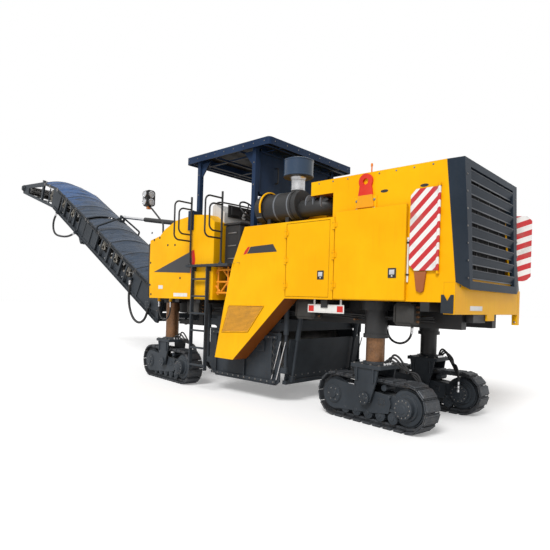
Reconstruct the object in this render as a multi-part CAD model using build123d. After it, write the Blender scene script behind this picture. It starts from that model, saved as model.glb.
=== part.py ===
from build123d import *
import os
from math import cos, sin, tan, pi, radians

# Cold planer on four crawler tracks, in millimetres.
# +X points to the rear, +Y to the machine's right side, +Z up, the ground is z = 0.
# A station is a distance ahead of the rear beam's back face.

# Overall sizes
rear_x = 6950
body_half = 1135
panel_half = 1190
front_half = 1170
wall = 20
gap = 5
touch = 0.3

# Undercarriage
track_length = 1800
track_height = 620
track_width = 300
shoe_count = 26
shoe_thick = 34
shoe_slit = 13
link_thick = 42
leg_y = 790
rear_leg_s = 1190
front_leg_s = 5690
front_crab = 6.6
rear_crab = 8.0
rear_right_crab = 3.0
column_r = 122
sleeve_wall = 24
column_play = 1
rear_sleeve_z = 1130
front_sleeve_z = 1480
column_inside = 640
yoke_top_z = 785
yoke_plate = 48
yoke_length = 500
yoke_width = 420
cheek_thick = 26
cheek_gap = 14
pivot_z = 345
pivot_r = 62
frame_beam_half = 105
roller_r = 74
roller_count = 5
motor_r = 128
motor_out = 36

# Main frame and rear beam
rail_in = 455
rail_out = 600
rail_z0 = 1290
deck_z = 1612
beam_z0 = 1480
beam_z1 = 1840
beam_depth = 130
frame_front_s = 5720
saddle_half = 150
ring_wall = 60
outrigger_stations = (300, 1750, 2560, 3200, 4450, 5050)
outrigger_length = 110
outrigger_reach = 1130
outrigger_z0 = 1502
arm_low_z = 1030
arm_top_z = 1120
arm_half = 110

# Engine hood and grille
hood_top_z = 3235
hood_front_s = 2080
hood_lean = 140
pocket_s = 1700
pocket_z0 = 2720
pocket_z1 = 3045
pocket_y = 760
grille_top_z = 3290
grille_low_z = 1770
grille_top_half = 940
grille_low_half = 850
grille_depth = 55
louvre_count = 8

# Side cabinets and their doors
cabinet_in = 885
cabinet_rear_s = 1625
cabinet_top_z = 2710
cabinet_nose_s = 3335
cabinet_bend_s = 3600
cabinet_bend_z = 2130
cabinet_low_s = 3770
cabinet_low_z = 1450
tip_front_s = 3950
tip_rear_s = 3520
tip_z = 622
kink_s = 2470
door_thick = 38
door_a_s0 = 1700
door_a_s1 = 2455
door_b_s0 = 590
door_b_s1 = 1615
door_b_top = 2770
door_rim = 70
knuckle_r = 12
knuckle_len = 60

# Front body, platform and canopy
front_s = 5960
front_low_z = 1560
front_rear_s = 4080
recess_half = 800
recess_s = 5300
bridge_z = 2420
platform_z = 2150
platform_thick = 40
wing_s = 3640
catwalk_half = 1260
catwalk_front_s = 4720
console_s0 = 4090
console_s1 = 4400
console_half = 950
console_top_z = 3215
wheel_s = 3985
wheel_y = -520
wheel_z = 3115
canopy_rear_s = 2940
canopy_front_s = 4970
canopy_half = 1110
canopy_top_z = 4075
canopy_sheet = 22
valance = 115
post_side = 75
front_post_s = 4700
rear_post_s = 3330
post_y = 1000

# Drum unit
drum_s = 3560
drum_z = 765
drum_r = 430
drum_centre_y = 170
drum_half = 975
housing_front_s = 4330
housing_rear_s = 2850
housing_top_z = rail_z0
housing_low_z = 560
housing_wall = 16
plate_thick = 24
plate_low_z = 270
plate_top_z = 1080
plate_play = 12
runner_out = 14
runner_in = 6
guide_rod_r = 25
guide_barrel_r = 42
guide_play = 0.8
guide_barrel_z0 = 1060
guide_barrel_z1 = 1480
guide_rod_top = 1215
drum_shaft_r = 60
plate_rear_s = 2800
plate_front_s = 4450
scraper_lean = 8
scraper_s = 2790
scraper_low_z = 290
scraper_height = 700
scraper_y0 = -790
scraper_y1 = 1130
scraper_rod_s = 2712
scraper_rods_y = (-690, 880)
scraper_barrel_z = 980
scraper_rod_top = 1200

# Conveyor
slew_s = 6300
foot_pivot_s = 6640
foot_pivot_z = 1420
lower_angle = 29.5
upper_angle = 17.5
chord_z_at_foot = 1055
chord_s_at_foot = 6600
truss_height = 580
conveyor_half = 560
fold_s = 10020
bend_s = 11800
head_s = 13980
cover_end_s = 12620
head_height = 250
chord = 70
belt_thick = 14
belt_half = 420
pin_r = 30
side_thick = 50
hinge_drop = -65
hinge_pin_r = 25
post_in = 660
portal_low_z = 1150
portal_top_z = 2690
arch_along = 3322
eye_up = 998
eye_pin_r = 22
bridge_drop = 90
bridge_thick = 40
cylinder_base_s = 6600
cylinder_base_z = 3200
barrel_length = 1400
barrel_r = 52
lift_rod_r = 34
rod_inner_end = 300
cover_rise = 130
cover_thick = 12
cover_start_along = 600

# Warning boards
board_y = 1162
board_post_s = 205
board_post_r = 12
board_width = 345
board_z0 = 1975
board_z1 = 2930
board_rest_turn = 150

# Free hoses: station, side and height of each point, then the radius
hose_y = -605
hoses = {
    "conveyor_foot_hose": ([
        (7560, hose_y, 1940), (7600, hose_y, 1740), (7605, hose_y, 1500), (7540, hose_y, 1270), (7390, hose_y, 1080),
        (7170, hose_y, 1000), (6965, hose_y, 1075), (6850, hose_y, 1250), (6815, hose_y, 1440)], 26),
    "conveyor_fold_hose": ([
        (11407, hose_y, 3815), (11560, hose_y, 3700), (11640, hose_y, 3520), (11600, hose_y, 3340),
        (11450, hose_y, 3220), (11190, hose_y, 3160), (10860, hose_y, 3120), (10540, hose_y, 3130),
        (10300, hose_y, 3190)], 26),
    "front_leg_hose": ([
        (5850, -1000, 1500), (5850, -1000, 1390), (5835, -1000, 1270), (5765, -1000, 1180), (5655, -1000, 1150),
        (5550, -1000, 1190), (5492, -1000, 1290), (5480, -1000, 1395), (5480, -1000, 1500)], 14),
    "rear_leg_hose": ([
        (860, -425, 1290), (860, -425, 1180), (928, -425, 1080), (1042, -425, 1042), (1158, -425, 1078),
        (1232, -425, 1178), (1232, -425, 1290)], 15),
}


def at(station):
    return rear_x - station


def block(s0, s1, y0, y1, z0, z1):
    length = abs(s1 - s0)
    middle = ((at(s0) + at(s1)) / 2, (y0 + y1) / 2, (z0 + z1) / 2)
    return Pos(*middle) * Box(length, abs(y1 - y0), abs(z1 - z0))


def side_prism(outline, y0, y1):
    points = [(at(s), z) for s, z in outline]
    face = Plane.XZ.offset(-y0) * make_face(Polyline(*points, close=True))
    return extrude(face, amount=-(y1 - y0))


def rod_y(s, z, radius, y0, y1):
    return Pos(at(s), (y0 + y1) / 2, z) * Rot(90, 0, 0) * Cylinder(radius, abs(y1 - y0))


def rod_z(s, y, radius, z0, z1):
    return Pos(at(s), y, (z0 + z1) / 2) * Cylinder(radius, z1 - z0)


def rod_x(y, z, radius, s0, s1):
    return Pos((at(s0) + at(s1)) / 2, y, z) * Rot(0, 90, 0) * Cylinder(radius, abs(s1 - s0))


def bar(start, end, radius):
    a = Vector(*start)
    b = Vector(*end)
    plane = Plane(origin=a, z_dir=b - a)
    return extrude(plane * Circle(radius), amount=(b - a).length)


def tube(points, radius, bends):
    path = FilletPolyline(*points, radius=bends)
    start = Plane(origin=path @ 0, z_dir=path % 0)
    return sweep(start * Circle(radius), path=path)


def hose(points, radius):
    vectors = [Vector(*p) for p in points]
    bends = []
    for before, here, after in zip(vectors, vectors[1:], vectors[2:]):
        turn = (here - before).get_angle(after - here)
        run = min((here - before).length, (after - here).length)
        bends.append(0.45 * run / tan(radians(turn) / 2))
    print("hose bends", [round(bend) for bend in bends])
    return tube(points, radius, bends)


def gland(name, end, radius, length):
    points = [Vector(at(s), y, z) for s, y, z in hoses[name][0]]
    face, inner = (points[0], points[1]) if end == 0 else (points[-1], points[-2])
    back = (face - inner).normalized() * length
    return bar(tuple(face), tuple(face + back), radius)


def joined(shapes):
    first, *rest = shapes
    for shape in rest:
        first = first + shape
    return first


nodes = {}


def keep(name, *shapes):
    solids = []
    for shape in shapes:
        solids.extend(shape.solids())
    nodes[name] = solids


# Track units: a loop of shoes round a frame with sprocket, idler, rollers and the fork above

def loop_point(distance, depth):
    radius = track_height / 2
    straight = track_length - track_height
    arc = pi * radius
    distance = distance % (2 * straight + 2 * arc)
    reach = radius - depth
    if distance < straight:
        return (-straight / 2 + distance, radius - reach)
    distance -= straight
    if distance < arc:
        angle = -pi / 2 + distance / radius
        return (straight / 2 + reach * cos(angle), radius + reach * sin(angle))
    distance -= arc
    if distance < straight:
        return (straight / 2 - distance, radius + reach)
    distance -= straight
    angle = pi / 2 + distance / radius
    return (-straight / 2 + reach * cos(angle), radius + reach * sin(angle))


def track_loop():
    straight = track_length - track_height
    perimeter = 2 * straight + pi * track_height
    pitch = perimeter / shoe_count
    outline = []
    for shoe in range(shoe_count):
        start = shoe * pitch
        outline.append(loop_point(start + shoe_slit, shoe_thick))
        outline.append(loop_point(start + shoe_slit, 0))
        outline.append(loop_point(start + pitch - shoe_slit, 0))
        outline.append(loop_point(start + pitch - shoe_slit, shoe_thick))
    half = track_width / 2
    plane = Plane.XZ.offset(half)
    outer = extrude(plane * make_face(Polyline(*outline, close=True)), amount=-track_width)
    inner_r = track_height / 2 - shoe_thick - link_thick
    slot = Plane.XZ.offset(half + 1) * Pos(0, track_height / 2) * SlotCenterToCenter(straight, 2 * inner_r)
    return outer - extrude(slot, amount=-track_width - 2)


def track_frame():
    straight = track_length - track_height
    inner_r = track_height / 2 - shoe_thick - link_thick
    mid_z = track_height / 2
    half = track_width / 2
    pieces = [Pos(0, 0, mid_z + 20) * Box(straight - 90, 2 * frame_beam_half, 190)]
    wheel = Rot(90, 0, 0) * Cylinder(inner_r - touch, 2 * frame_beam_half - 60)
    pieces.append(Pos(-straight / 2, 0, mid_z) * wheel)
    pieces.append(Pos(straight / 2, 0, mid_z) * wheel)
    idler_hub = Rot(90, 0, 0) * Cylinder(inner_r * 0.55, track_width - 20)
    pieces.append(Pos(-straight / 2, 0, mid_z) * idler_hub)
    motor = Rot(90, 0, 0) * Cylinder(motor_r, track_width + 2 * motor_out)
    pieces.append(Pos(straight / 2, 0, mid_z) * motor)
    roller_z = shoe_thick + link_thick + roller_r + touch
    first = -(roller_count - 1) / 2
    spacing = (straight - 2 * inner_r + 80) / (roller_count - 1)
    for number in range(roller_count):
        place = Pos((first + number) * spacing, 0, roller_z)
        pieces.append(place * Rot(90, 0, 0) * Cylinder(roller_r, 2 * frame_beam_half + 20))
    carrier_r = 40
    carrier_z = track_height - shoe_thick - link_thick - carrier_r - touch
    for x in (-230, 230):
        pieces.append(Pos(x, 0, carrier_z) * Rot(90, 0, 0) * Cylinder(carrier_r, 2 * frame_beam_half - 20))
    plate = Pos(0, 0, yoke_top_z - yoke_plate / 2) * Box(yoke_length, yoke_width, yoke_plate)
    plate = fillet(plate.edges().filter_by(Axis.Z), 30)
    pieces.append(plate)
    top = yoke_top_z - yoke_plate
    cheek_outline = [(-200, top), (200, top), (170, 560), (80, 300), (-80, 300), (-170, 560)]
    cheek_in = half + cheek_gap
    for y in (cheek_in, -cheek_in - cheek_thick):
        face = Plane.XZ.offset(-y) * make_face(Polyline(*cheek_outline, close=True))
        pieces.append(extrude(face, amount=-cheek_thick))
    shaft = Rot(90, 0, 0) * Cylinder(pivot_r, 2 * (cheek_in + cheek_thick + 16))
    pieces.append(Pos(0, 0, pivot_z) * shaft)
    return joined(pieces)


loop = track_loop()
frame = track_frame()
corners = {
    "front_left": (front_leg_s, -leg_y, -front_crab),
    "front_right": (front_leg_s, leg_y, -front_crab),
    "rear_left": (rear_leg_s, -leg_y, -rear_crab),
    "rear_right": (rear_leg_s, leg_y, -rear_right_crab),
}
sleeves = []
for corner, (station, y, crab) in corners.items():
    place = Pos(at(station), y, 0) * Rot(0, 0, crab)
    keep("track_" + corner, place * loop)
    keep("track_frame_" + corner, place * frame)
    sleeve_z = front_sleeve_z if corner.startswith("front") else rear_sleeve_z
    column_top = sleeve_z + column_inside
    column = rod_z(station, y, column_r, yoke_top_z + touch, column_top)
    keep("leg_column_" + corner, column)
    sleeve_r = column_r + column_play
    sleeve_top = column_top + 340
    outer = rod_z(station, y, sleeve_r + sleeve_wall, sleeve_z, sleeve_top)
    collar = rod_z(station, y, sleeve_r + sleeve_wall + 16, sleeve_z, sleeve_z + 50)
    sleeves.append(outer + collar - rod_z(station, y, sleeve_r, sleeve_z - 1, sleeve_top - 20))
keep("leg_sleeves", *sleeves)


# Main frame: two rails, cross members, sleeve saddles and outriggers under the body

def main_frame():
    pieces = []
    for side in (-1, 1):
        y0 = side * rail_in
        y1 = side * rail_out
        pieces.append(block(beam_depth, frame_front_s, y0, y1, rail_z0, deck_z))
        for station in (rear_leg_s, front_leg_s):
            pieces.append(block(station - saddle_half, station + saddle_half, y1, side * (leg_y + 60),
                                rail_z0 + 200, deck_z - 2))
        for station in outrigger_stations:
            beside_nose = side < 0 and kink_s < station < tip_front_s
            reach = cabinet_in - touch if beside_nose else outrigger_reach
            pieces.append(block(station, station + outrigger_length, y1, side * reach, outrigger_z0, deck_z - touch))
    for station in (beam_depth, 2450, 4460):
        pieces.append(block(station, station + 120, -rail_in, rail_in, rail_z0 + 150, deck_z))
    front_s0 = frame_front_s - 120
    pieces.append(block(front_s0, frame_front_s, -rail_in, rail_in, rail_z0, rail_z0 + 140))
    pieces.append(block(front_s0, frame_front_s, -arm_half, arm_half, arm_low_z, rail_z0))
    lug = block(front_s0, slew_s + 90, -arm_half, arm_half, arm_low_z, arm_top_z)
    pieces.append(lug - rod_z(slew_s, 0, pin_r + 0.8, arm_low_z - 1, arm_top_z + 1))
    for end in (0, 1):
        pieces.append(gland("rear_leg_hose", end, 31, 60))
    body = joined(pieces)
    for station in (rear_leg_s, front_leg_s):
        for y in (-leg_y, leg_y):
            body = body - rod_z(station, y, column_r + column_play + sleeve_wall + 17, rail_z0 - 200, deck_z + 300)
    for station in (rear_leg_s, front_leg_s):
        for side in (-1, 1):
            ring_r = column_r + column_play + sleeve_wall
            low = rail_z0 + 200
            if station == front_leg_s:
                low = max(low, front_sleeve_z + 52)
            ring = rod_z(station, side * leg_y, ring_r + ring_wall, low, deck_z - 2)
            ring = ring - rod_z(station, side * leg_y, ring_r + touch, low - 1, deck_z)
            body = body + ring
    return body


keep("main_frame", main_frame())


def rear_beam():
    outer = block(0, beam_depth, -body_half, body_half, beam_z0, beam_z1)
    inner = block(wall, beam_depth + 1, -body_half + wall, body_half - wall, beam_z0 + wall, beam_z1 - wall)
    shell = outer - inner
    for side in (-1, 1):
        rib = side * (rail_in + rail_out) / 2
        shell = shell + block(wall - 1, beam_depth, rib - 60, rib + 60, beam_z0 + wall, beam_z1 - wall)
    post = block(-2, 70, body_half - 60, body_half + 40, 1330, beam_z1 - 20)
    hook = rod_y(35, 1370, 18, body_half - 61, body_half + 41)
    step = block(0, beam_depth - touch, -120, 140, beam_z0 - 80, beam_z0)
    return shell + (post - hook) + step


keep("rear_beam", rear_beam())


# Engine hood: a hollow casing with a door opening in each side and a pocket for the intake and exhaust

def hood_outline(grow):
    top = hood_top_z + grow
    return [
        (-grow, beam_z1),
        (-grow + hood_lean, top),
        (hood_front_s + grow, top),
        (hood_front_s + grow, deck_z),
        (beam_depth + touch, deck_z),
        (beam_depth + touch, beam_z1),
    ]


def engine_hood():
    shell = side_prism(hood_outline(0), -body_half, body_half)
    inner_outline = [
        (wall, beam_z1 + wall),
        (hood_lean + wall, hood_top_z - wall),
        (hood_front_s - wall, hood_top_z - wall),
        (hood_front_s - wall, deck_z - 1),
        (beam_depth + wall, deck_z - 1),
        (beam_depth + wall, beam_z1 + wall),
    ]
    shell = shell - side_prism(inner_outline, -body_half + wall, body_half - wall)
    for side in (-1, 1):
        edge = side * (body_half + 1)
        shell = shell + block(cabinet_rear_s - wall, hood_front_s, side * (cabinet_in - wall), side * body_half,
                              deck_z, cabinet_top_z + wall)
        shell = shell + block(pocket_s - wall, hood_front_s, side * (pocket_y - wall), side * body_half,
                              pocket_z0 - wall, pocket_z1 + wall)
        shell = shell - block(cabinet_rear_s - touch, hood_front_s + 1, side * (cabinet_in - touch), edge,
                              deck_z - 1, cabinet_top_z + touch)
        shell = shell - block(pocket_s, hood_front_s + 1, side * pocket_y, edge, pocket_z0, pocket_z1)
        hole = block(door_b_s0 + door_rim, door_b_s1 - door_rim, side * (body_half - 60), side * (body_half + 1),
                     deck_z + door_rim + 30, door_b_top - door_rim)
        shell = shell - hole
        lip_y = side * (body_half - 25)
        rib = block(door_b_s0 + 30, door_b_s1 - 30, lip_y, side * (body_half - wall + 1),
                    door_b_top - 60, door_b_top - 30)
        shell = shell + rib
    window = block(-20, hood_lean + 60, -grille_low_half + 90, grille_low_half - 90, beam_z1 + 110, hood_top_z - 150)
    return shell - window


def rear_grille():
    front = [
        (at(-touch), -body_half + 4, beam_z1 + 4),
        (at(-touch), body_half - 4, beam_z1 + 4),
        (at(hood_lean - touch), body_half - 4, hood_top_z),
        (at(hood_lean - touch), -body_half + 4, hood_top_z),
    ]
    back = [
        (at(-grille_depth), -grille_low_half, grille_low_z),
        (at(-grille_depth), grille_low_half, grille_low_z),
        (at(15), grille_top_half, grille_top_z),
        (at(15), -grille_top_half, grille_top_z),
    ]
    front_wire = Polyline(*front, close=True)
    back_wire = Polyline(*back, close=True)
    solid = loft([make_face(front_wire), make_face(back_wire)], ruled=True)
    rim = 85
    lean = (15 + grille_depth) / (grille_top_z - grille_low_z)
    z0 = grille_low_z + 100
    z1 = grille_top_z - rim
    opening = [
        (-grille_depth - 40 + lean * (z0 - grille_low_z), z0),
        (hood_lean + 60, z0),
        (hood_lean + 60, z1),
        (-grille_depth - 40 + lean * (z1 - grille_low_z), z1),
    ]
    solid = solid - side_prism(opening, -grille_low_half + rim, grille_low_half - rim)
    pitch = (z1 - z0) / louvre_count
    for number in range(louvre_count):
        z = z0 + (number + 0.5) * pitch
        s = -grille_depth + lean * (z - grille_low_z)
        slat = [(s + 2, z + 38), (s + 14, z + 46), (s + 48, z - 40), (s + 36, z - 48)]
        solid = solid + side_prism(slat, -grille_low_half + rim - 1, grille_low_half - rim + 1)
    cut = side_prism([(-touch, 0), (-touch, beam_z1 + touch), (hood_lean + 400, beam_z1 + touch), (400, 0)],
                     -2000, 2000)
    return solid - cut


keep("rear_grille", rear_grille())


def engine_block():
    low = deck_z + touch
    engine = block(520, 1960, -430, 430, low, 2600)
    for station in (700, 1640):
        engine = engine + block(station, station + 120, -rail_out, rail_out, low, low + 90)
    radiator = block(300, 420, -640, 640, low, 2950)
    return engine, radiator


keep("engine_block", *engine_block())


# Side cabinets: hollow cases with a recessed doorway, the left one with the long sloping nose

def cabinet_outline(side, inset):
    low = deck_z + inset
    top = cabinet_top_z - inset
    lean = (cabinet_bend_s - cabinet_nose_s) / (cabinet_top_z - cabinet_bend_z)
    if side < 0:
        return [
            (cabinet_rear_s + inset, low),
            (kink_s + inset * 0.45, low),
            (tip_rear_s + inset * 0.45, tip_z + inset),
            (tip_front_s - inset * 1.2, tip_z + inset),
            (cabinet_low_s - inset * 1.05, cabinet_low_z),
            (cabinet_bend_s - inset * 1.05, cabinet_bend_z),
            (cabinet_nose_s - inset * (1 - lean), top),
            (cabinet_rear_s + inset, top),
        ]
    return [
        (cabinet_rear_s + inset, low),
        (cabinet_low_s - inset * 1.05 - 40, low),
        (cabinet_bend_s - inset * 1.05, cabinet_bend_z),
        (cabinet_nose_s - inset * (1 - lean), top),
        (cabinet_rear_s + inset, top),
    ]


def knuckle_piece(station, z, length, side, reach):
    y = side * (panel_half + knuckle_r + 1)
    barrel = rod_z(station, y, knuckle_r, z - length / 2, z + length / 2)
    leaf = block(station, station + reach, side * panel_half, side * (panel_half + 8), z - length / 2, z + length / 2)
    return barrel + leaf


def fixed_knuckles(station, heights, side):
    pieces = []
    shift = (knuckle_len + knuckle_len / 2) / 2 + 0.5
    for z in heights:
        pieces.append(knuckle_piece(station, z + shift, knuckle_len / 2, side, 38))
        pieces.append(knuckle_piece(station, z - shift, knuckle_len / 2, side, 38))
    return pieces


def moving_knuckles(station, heights, side):
    return [knuckle_piece(station, z, knuckle_len, side, -38) for z in heights]


door_a_heights = (1800, 2160, 2540)
door_b_heights = (1800, 2200, 2600)
axis_a_s = door_a_s1 + gap
axis_b_s = door_b_s1 + gap


def cabinet(side):
    outer = side_prism(cabinet_outline(side, 0), *sorted((side * cabinet_in, side * panel_half)))
    inner_y = sorted((side * (cabinet_in + wall), side * (panel_half - wall - door_thick)))
    shell = outer - side_prism(cabinet_outline(side, wall), *inner_y)
    recess = block(door_a_s0 - gap, door_a_s1 + gap + 5, side * (panel_half - door_thick - gap), side * (panel_half + 1),
                   deck_z + 28, cabinet_top_z - 28)
    opening = block(door_a_s0 + door_rim, door_a_s1 - door_rim, side * (panel_half - 200), side * panel_half,
                    deck_z + 28 + door_rim, cabinet_top_z - 28 - door_rim)
    shell = shell - recess - opening
    return joined([shell] + fixed_knuckles(axis_a_s, door_a_heights, side) +
                  fixed_knuckles(axis_b_s, door_b_heights, side))


def door(s0, s1, z0, z1, side, axis_s, heights):
    panel = block(s0, s1, side * (panel_half - door_thick), side * panel_half, z0, z1)
    return joined([panel] + moving_knuckles(axis_s, heights, side))


for side, name in ((-1, "left"), (1, "right")):
    keep("cabinet_" + name, cabinet(side))
    keep("front_door_" + name, door(door_a_s0, door_a_s1, deck_z + 33, cabinet_top_z - 33, side, axis_a_s,
                                    door_a_heights))
    keep("engine_door_" + name, door(door_b_s0, door_b_s1, deck_z + 12, door_b_top, side, axis_b_s, door_b_heights))


# Front body: two side tanks, a bridge behind the conveyor recess and the nose that holds the slewing pin

front_top = [(front_s, 2150), (front_s - 10, 2655), (5630, 2725), (5500, 2825), (5180, 2965), (4630, 3025),
             (4250, 2990), (front_rear_s, 2860)]


def front_top_z(station):
    for (s1, z1), (s0, z0) in zip(front_top, front_top[1:]):
        if s0 <= station <= s1:
            return z0 + (z1 - z0) * (station - s0) / (s1 - s0)


def front_body():
    outline = [(front_rear_s, front_low_z), (front_s - 30, front_low_z)] + front_top
    left = side_prism(outline, -front_half, -recess_half)
    right = side_prism(outline, recess_half, front_half)
    bridge = [(front_rear_s, bridge_z), (recess_s, bridge_z), (recess_s, 2912)] + front_top[4:]
    body = left + right + side_prism(bridge, -recess_half, recess_half)
    for side in (-1, 1):
        y = side * leg_y
        sleeve_r = column_r + column_play + sleeve_wall
        body = body - rod_z(front_leg_s, y, sleeve_r + 20, front_low_z - 1, front_sleeve_z + column_inside + 345)
        body = body - rod_z(front_leg_s, y, sleeve_r + ring_wall + touch, front_low_z - 1, deck_z)
        body = body - block(front_leg_s - saddle_half - touch, front_leg_s + saddle_half + touch,
                            side * (recess_half - 1), side * (leg_y + 60 + touch), front_low_z - 1, deck_z)
        for station in outrigger_stations:
            if station > front_rear_s:
                body = body - block(station - touch, station + outrigger_length + touch, side * (recess_half - 1),
                                    side * (outrigger_reach + touch), front_low_z - 1, deck_z)
    for end in (0, 1):
        body = body + gland("front_leg_hose", end, 30, front_low_z - hoses["front_leg_hose"][0][0][2] + 1)
    return body


nose_z0 = 2700
nose_z1 = 2860


def front_nose():
    arm = block(recess_s + touch, slew_s + 110, -130, 130, nose_z0, nose_z1)
    arm = arm + block(recess_s + touch, recess_s + 40, -330, 330, nose_z0 - 150, nose_z1 + 40)
    return arm - rod_z(slew_s, 0, pin_r + 0.8, nose_z0 - 200, nose_z1 + 200)


keep("front_body", front_body(), front_nose())


# Operator's platform with its floor, steps, console and steering wheel

def platform():
    floor_z = platform_z - platform_thick
    rear_s = cabinet_nose_s - 60
    inside = cabinet_in - touch
    floor = block(rear_s, front_rear_s - touch, -inside, inside, floor_z, platform_z)
    skirt = block(front_rear_s - 30, front_rear_s - touch, -inside, inside, deck_z, floor_z)
    rear_wall = block(rear_s, rear_s + 25, -inside, inside, deck_z, cabinet_top_z + 150)
    deck = block(hood_front_s + touch, rear_s + 25, -inside, inside, cabinet_top_z - wall, cabinet_top_z)
    pieces = [floor, skirt, rear_wall, deck]
    for side in (-1, 1):
        pieces.append(block(wing_s, front_rear_s - touch, side * (inside - 1), side * catwalk_half, floor_z, platform_z))
        pieces.append(block(front_rear_s - 1, catwalk_front_s, side * (front_half + touch), side * catwalk_half,
                            floor_z, platform_z))
    return joined(pieces)


keep("platform", platform())


def control_console():
    outline = [
        (console_s0, front_top_z(console_s0) + touch),
        (4250, front_top_z(4250) + touch),
        (console_s1, front_top_z(console_s1) + touch),
        (console_s1, console_top_z - 30),
        (console_s1 - 60, console_top_z),
        (console_s0 + 40, console_top_z - 130),
        (console_s0, console_top_z - 170),
    ]
    column = bar((at(console_s0 + 80), wheel_y, 2980), (at(wheel_s), wheel_y, wheel_z), 26)
    foot = bar((at(console_s0 + 82), wheel_y, 2978), (at(console_s0 - 14), wheel_y, 3016), 45)
    return side_prism(outline, -console_half, console_half) + column + foot


keep("control_console", control_console())


def steering_wheel():
    centre = Vector(at(wheel_s), wheel_y, wheel_z)
    axis = Vector(console_s0 + 80 - wheel_s, 0, wheel_z - 2980)
    plane = Plane(origin=centre + axis * (touch / axis.length), z_dir=axis)
    hub = extrude(plane * Circle(45), amount=30)
    ring = plane * Pos(0, 0, 40) * Torus(185, 15)
    wheel = hub + ring
    for angle in (90, 210, 330):
        spoke = plane * Pos(0, 0, 15) * Rot(0, 0, angle) * Pos(105, 0, 10) * Rot(0, 82, 0) * Cylinder(11, 160)
        wheel = wheel + spoke
    return wheel


keep("steering_wheel", steering_wheel())


# Canopy: a sheet roof with a down-turned edge, four posts and a panel behind the driver

def canopy_roof():
    low = canopy_top_z - valance
    outer = block(canopy_rear_s, canopy_front_s, -canopy_half, canopy_half, low, canopy_top_z)
    outer = fillet(outer.edges().filter_by(Axis.Z), 60)
    inner = block(canopy_rear_s + canopy_sheet, canopy_front_s - canopy_sheet, -canopy_half + canopy_sheet,
                  canopy_half - canopy_sheet, low - 1, canopy_top_z - canopy_sheet)
    return outer - inner


keep("canopy_roof", canopy_roof())

roof_under = canopy_top_z - canopy_sheet - touch


def canopy_posts():
    posts = []
    for side in (-1, 1):
        y = side * post_y
        front_base = 2760
        front = block(front_post_s - post_side / 2, front_post_s + post_side / 2, y - post_side / 2,
                      y + post_side / 2, 3024 + touch, roof_under)
        foot = block(front_post_s - 70, front_post_s + 70, side * (front_half + touch), side * (front_half + 22),
                     front_base, 3100)
        arm = block(front_post_s - 45, front_post_s + 45, y, side * (front_half + 22), 3045, 3100)
        rear = block(rear_post_s - post_side / 2, rear_post_s + post_side / 2, y - post_side / 2,
                     y + post_side / 2, cabinet_top_z + touch, roof_under)
        shoe = block(rear_post_s - 95, rear_post_s + 5, y - 80, y + 80, cabinet_top_z + touch, cabinet_top_z + 25)
        posts.extend([front + foot + arm, rear + shoe])
    inside = post_y - post_side / 2
    panel = block(rear_post_s - 8, rear_post_s + 8, -inside, inside, 3240, roof_under)
    beam = block(front_post_s - 30, front_post_s + 30, -inside, inside, roof_under - 90, roof_under)
    return [joined([posts[0], posts[1], posts[2], posts[3], panel, beam])]


keep("canopy_posts", *canopy_posts())


# Ladders, one below each side of the platform, and the grab rails beside them

ladder_y = {-1: 1235, 1: 1275}
ladder_s = 4340
ladder_half = 195
ladder_low_z = 380
rung_step = 290
rail_r = 17


def ladder(side):
    y = side * ladder_y[side]
    pieces = []
    for station in (ladder_s - ladder_half, ladder_s + ladder_half):
        top = platform_z - platform_thick - touch
        pieces.append(block(station - 11, station + 11, y - 32, y + 32, ladder_low_z, top))
        pieces.append(block(station - 11, station + 11, y, side * (front_half + touch), top - 70, top))
    z = ladder_low_z + 60
    while z < platform_z - 150:
        pieces.append(block(ladder_s - ladder_half, ladder_s + ladder_half, y - 26, y + 26, z, z + 28))
        z += rung_step
    return joined(pieces)


keep("ladders", *[ladder(side) for side in (-1, 1)])

hoop_low_z = 2560
hoop_top_z = 3215
hoop_reach = 350
rail_y = 1215
rail_posts_s = (4650, 3850)


def grab_rail(side, station):
    y = side * rail_y
    post = rod_z(station, y, rail_r, platform_z + touch, hoop_top_z + 110)
    pieces = [post]
    out = y + side * hoop_reach
    for low, high, reach in ((hoop_low_z, hoop_top_z, out), (hoop_low_z + 110, hoop_top_z - 110, out - side * 90)):
        route = [(at(station), y, low), (at(station), reach, low), (at(station), reach, high), (at(station), y, high)]
        pieces.append(tube(route, rail_r - 3, 95))
    return joined(pieces)


keep("grab_rails", *[grab_rail(side, s) for side in (-1, 1) for s in rail_posts_s])


# Air cleaner on the left deck: intake bowl, neck, canister and elbow

canister_r = 212
canister_y = 985
canister_z = 2975
canister_s0 = 2330
canister_s1 = 3130
bowl_s = 2450
bowl_r = 215
bowl_z0 = 3385
bowl_z1 = 3640
elbow_r = 122


def air_cleaner():
    y = -canister_y
    body = rod_x(y, canister_z, canister_r, canister_s0, canister_s1)
    band = rod_x(y, canister_z, canister_r + 9, canister_s0 + 90, canister_s0 + 130)
    lid = rod_x(y, canister_z, canister_r + 14, canister_s1 - 150, canister_s1 - 125)
    saddle = block(canister_s0 + 180, canister_s0 + 240, y - 120, y + 120, cabinet_top_z + touch, canister_z)
    saddle2 = block(canister_s1 - 260, canister_s1 - 200, y - 120, y + 120, cabinet_top_z + touch, canister_z)
    neck = rod_z(bowl_s, y, 100, canister_z + canister_r - 40, bowl_z0 + 10)
    bowl = rod_z(bowl_s, y, bowl_r, bowl_z0, bowl_z1)
    bowl = fillet(bowl.edges().filter_by(GeomType.CIRCLE).sort_by(Axis.Z)[-1], 40)
    start = (at(canister_s0 + 20), y, canister_z - 60)
    corner = (at(pocket_s + 170), y, canister_z - 60)
    end = (at(pocket_s + 170), -pocket_y - touch, canister_z - 60)
    elbow = tube([start, corner, end], elbow_r, 180)
    return joined([body, band, lid, saddle, saddle2, neck, bowl, elbow])


keep("air_cleaner", air_cleaner())


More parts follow.
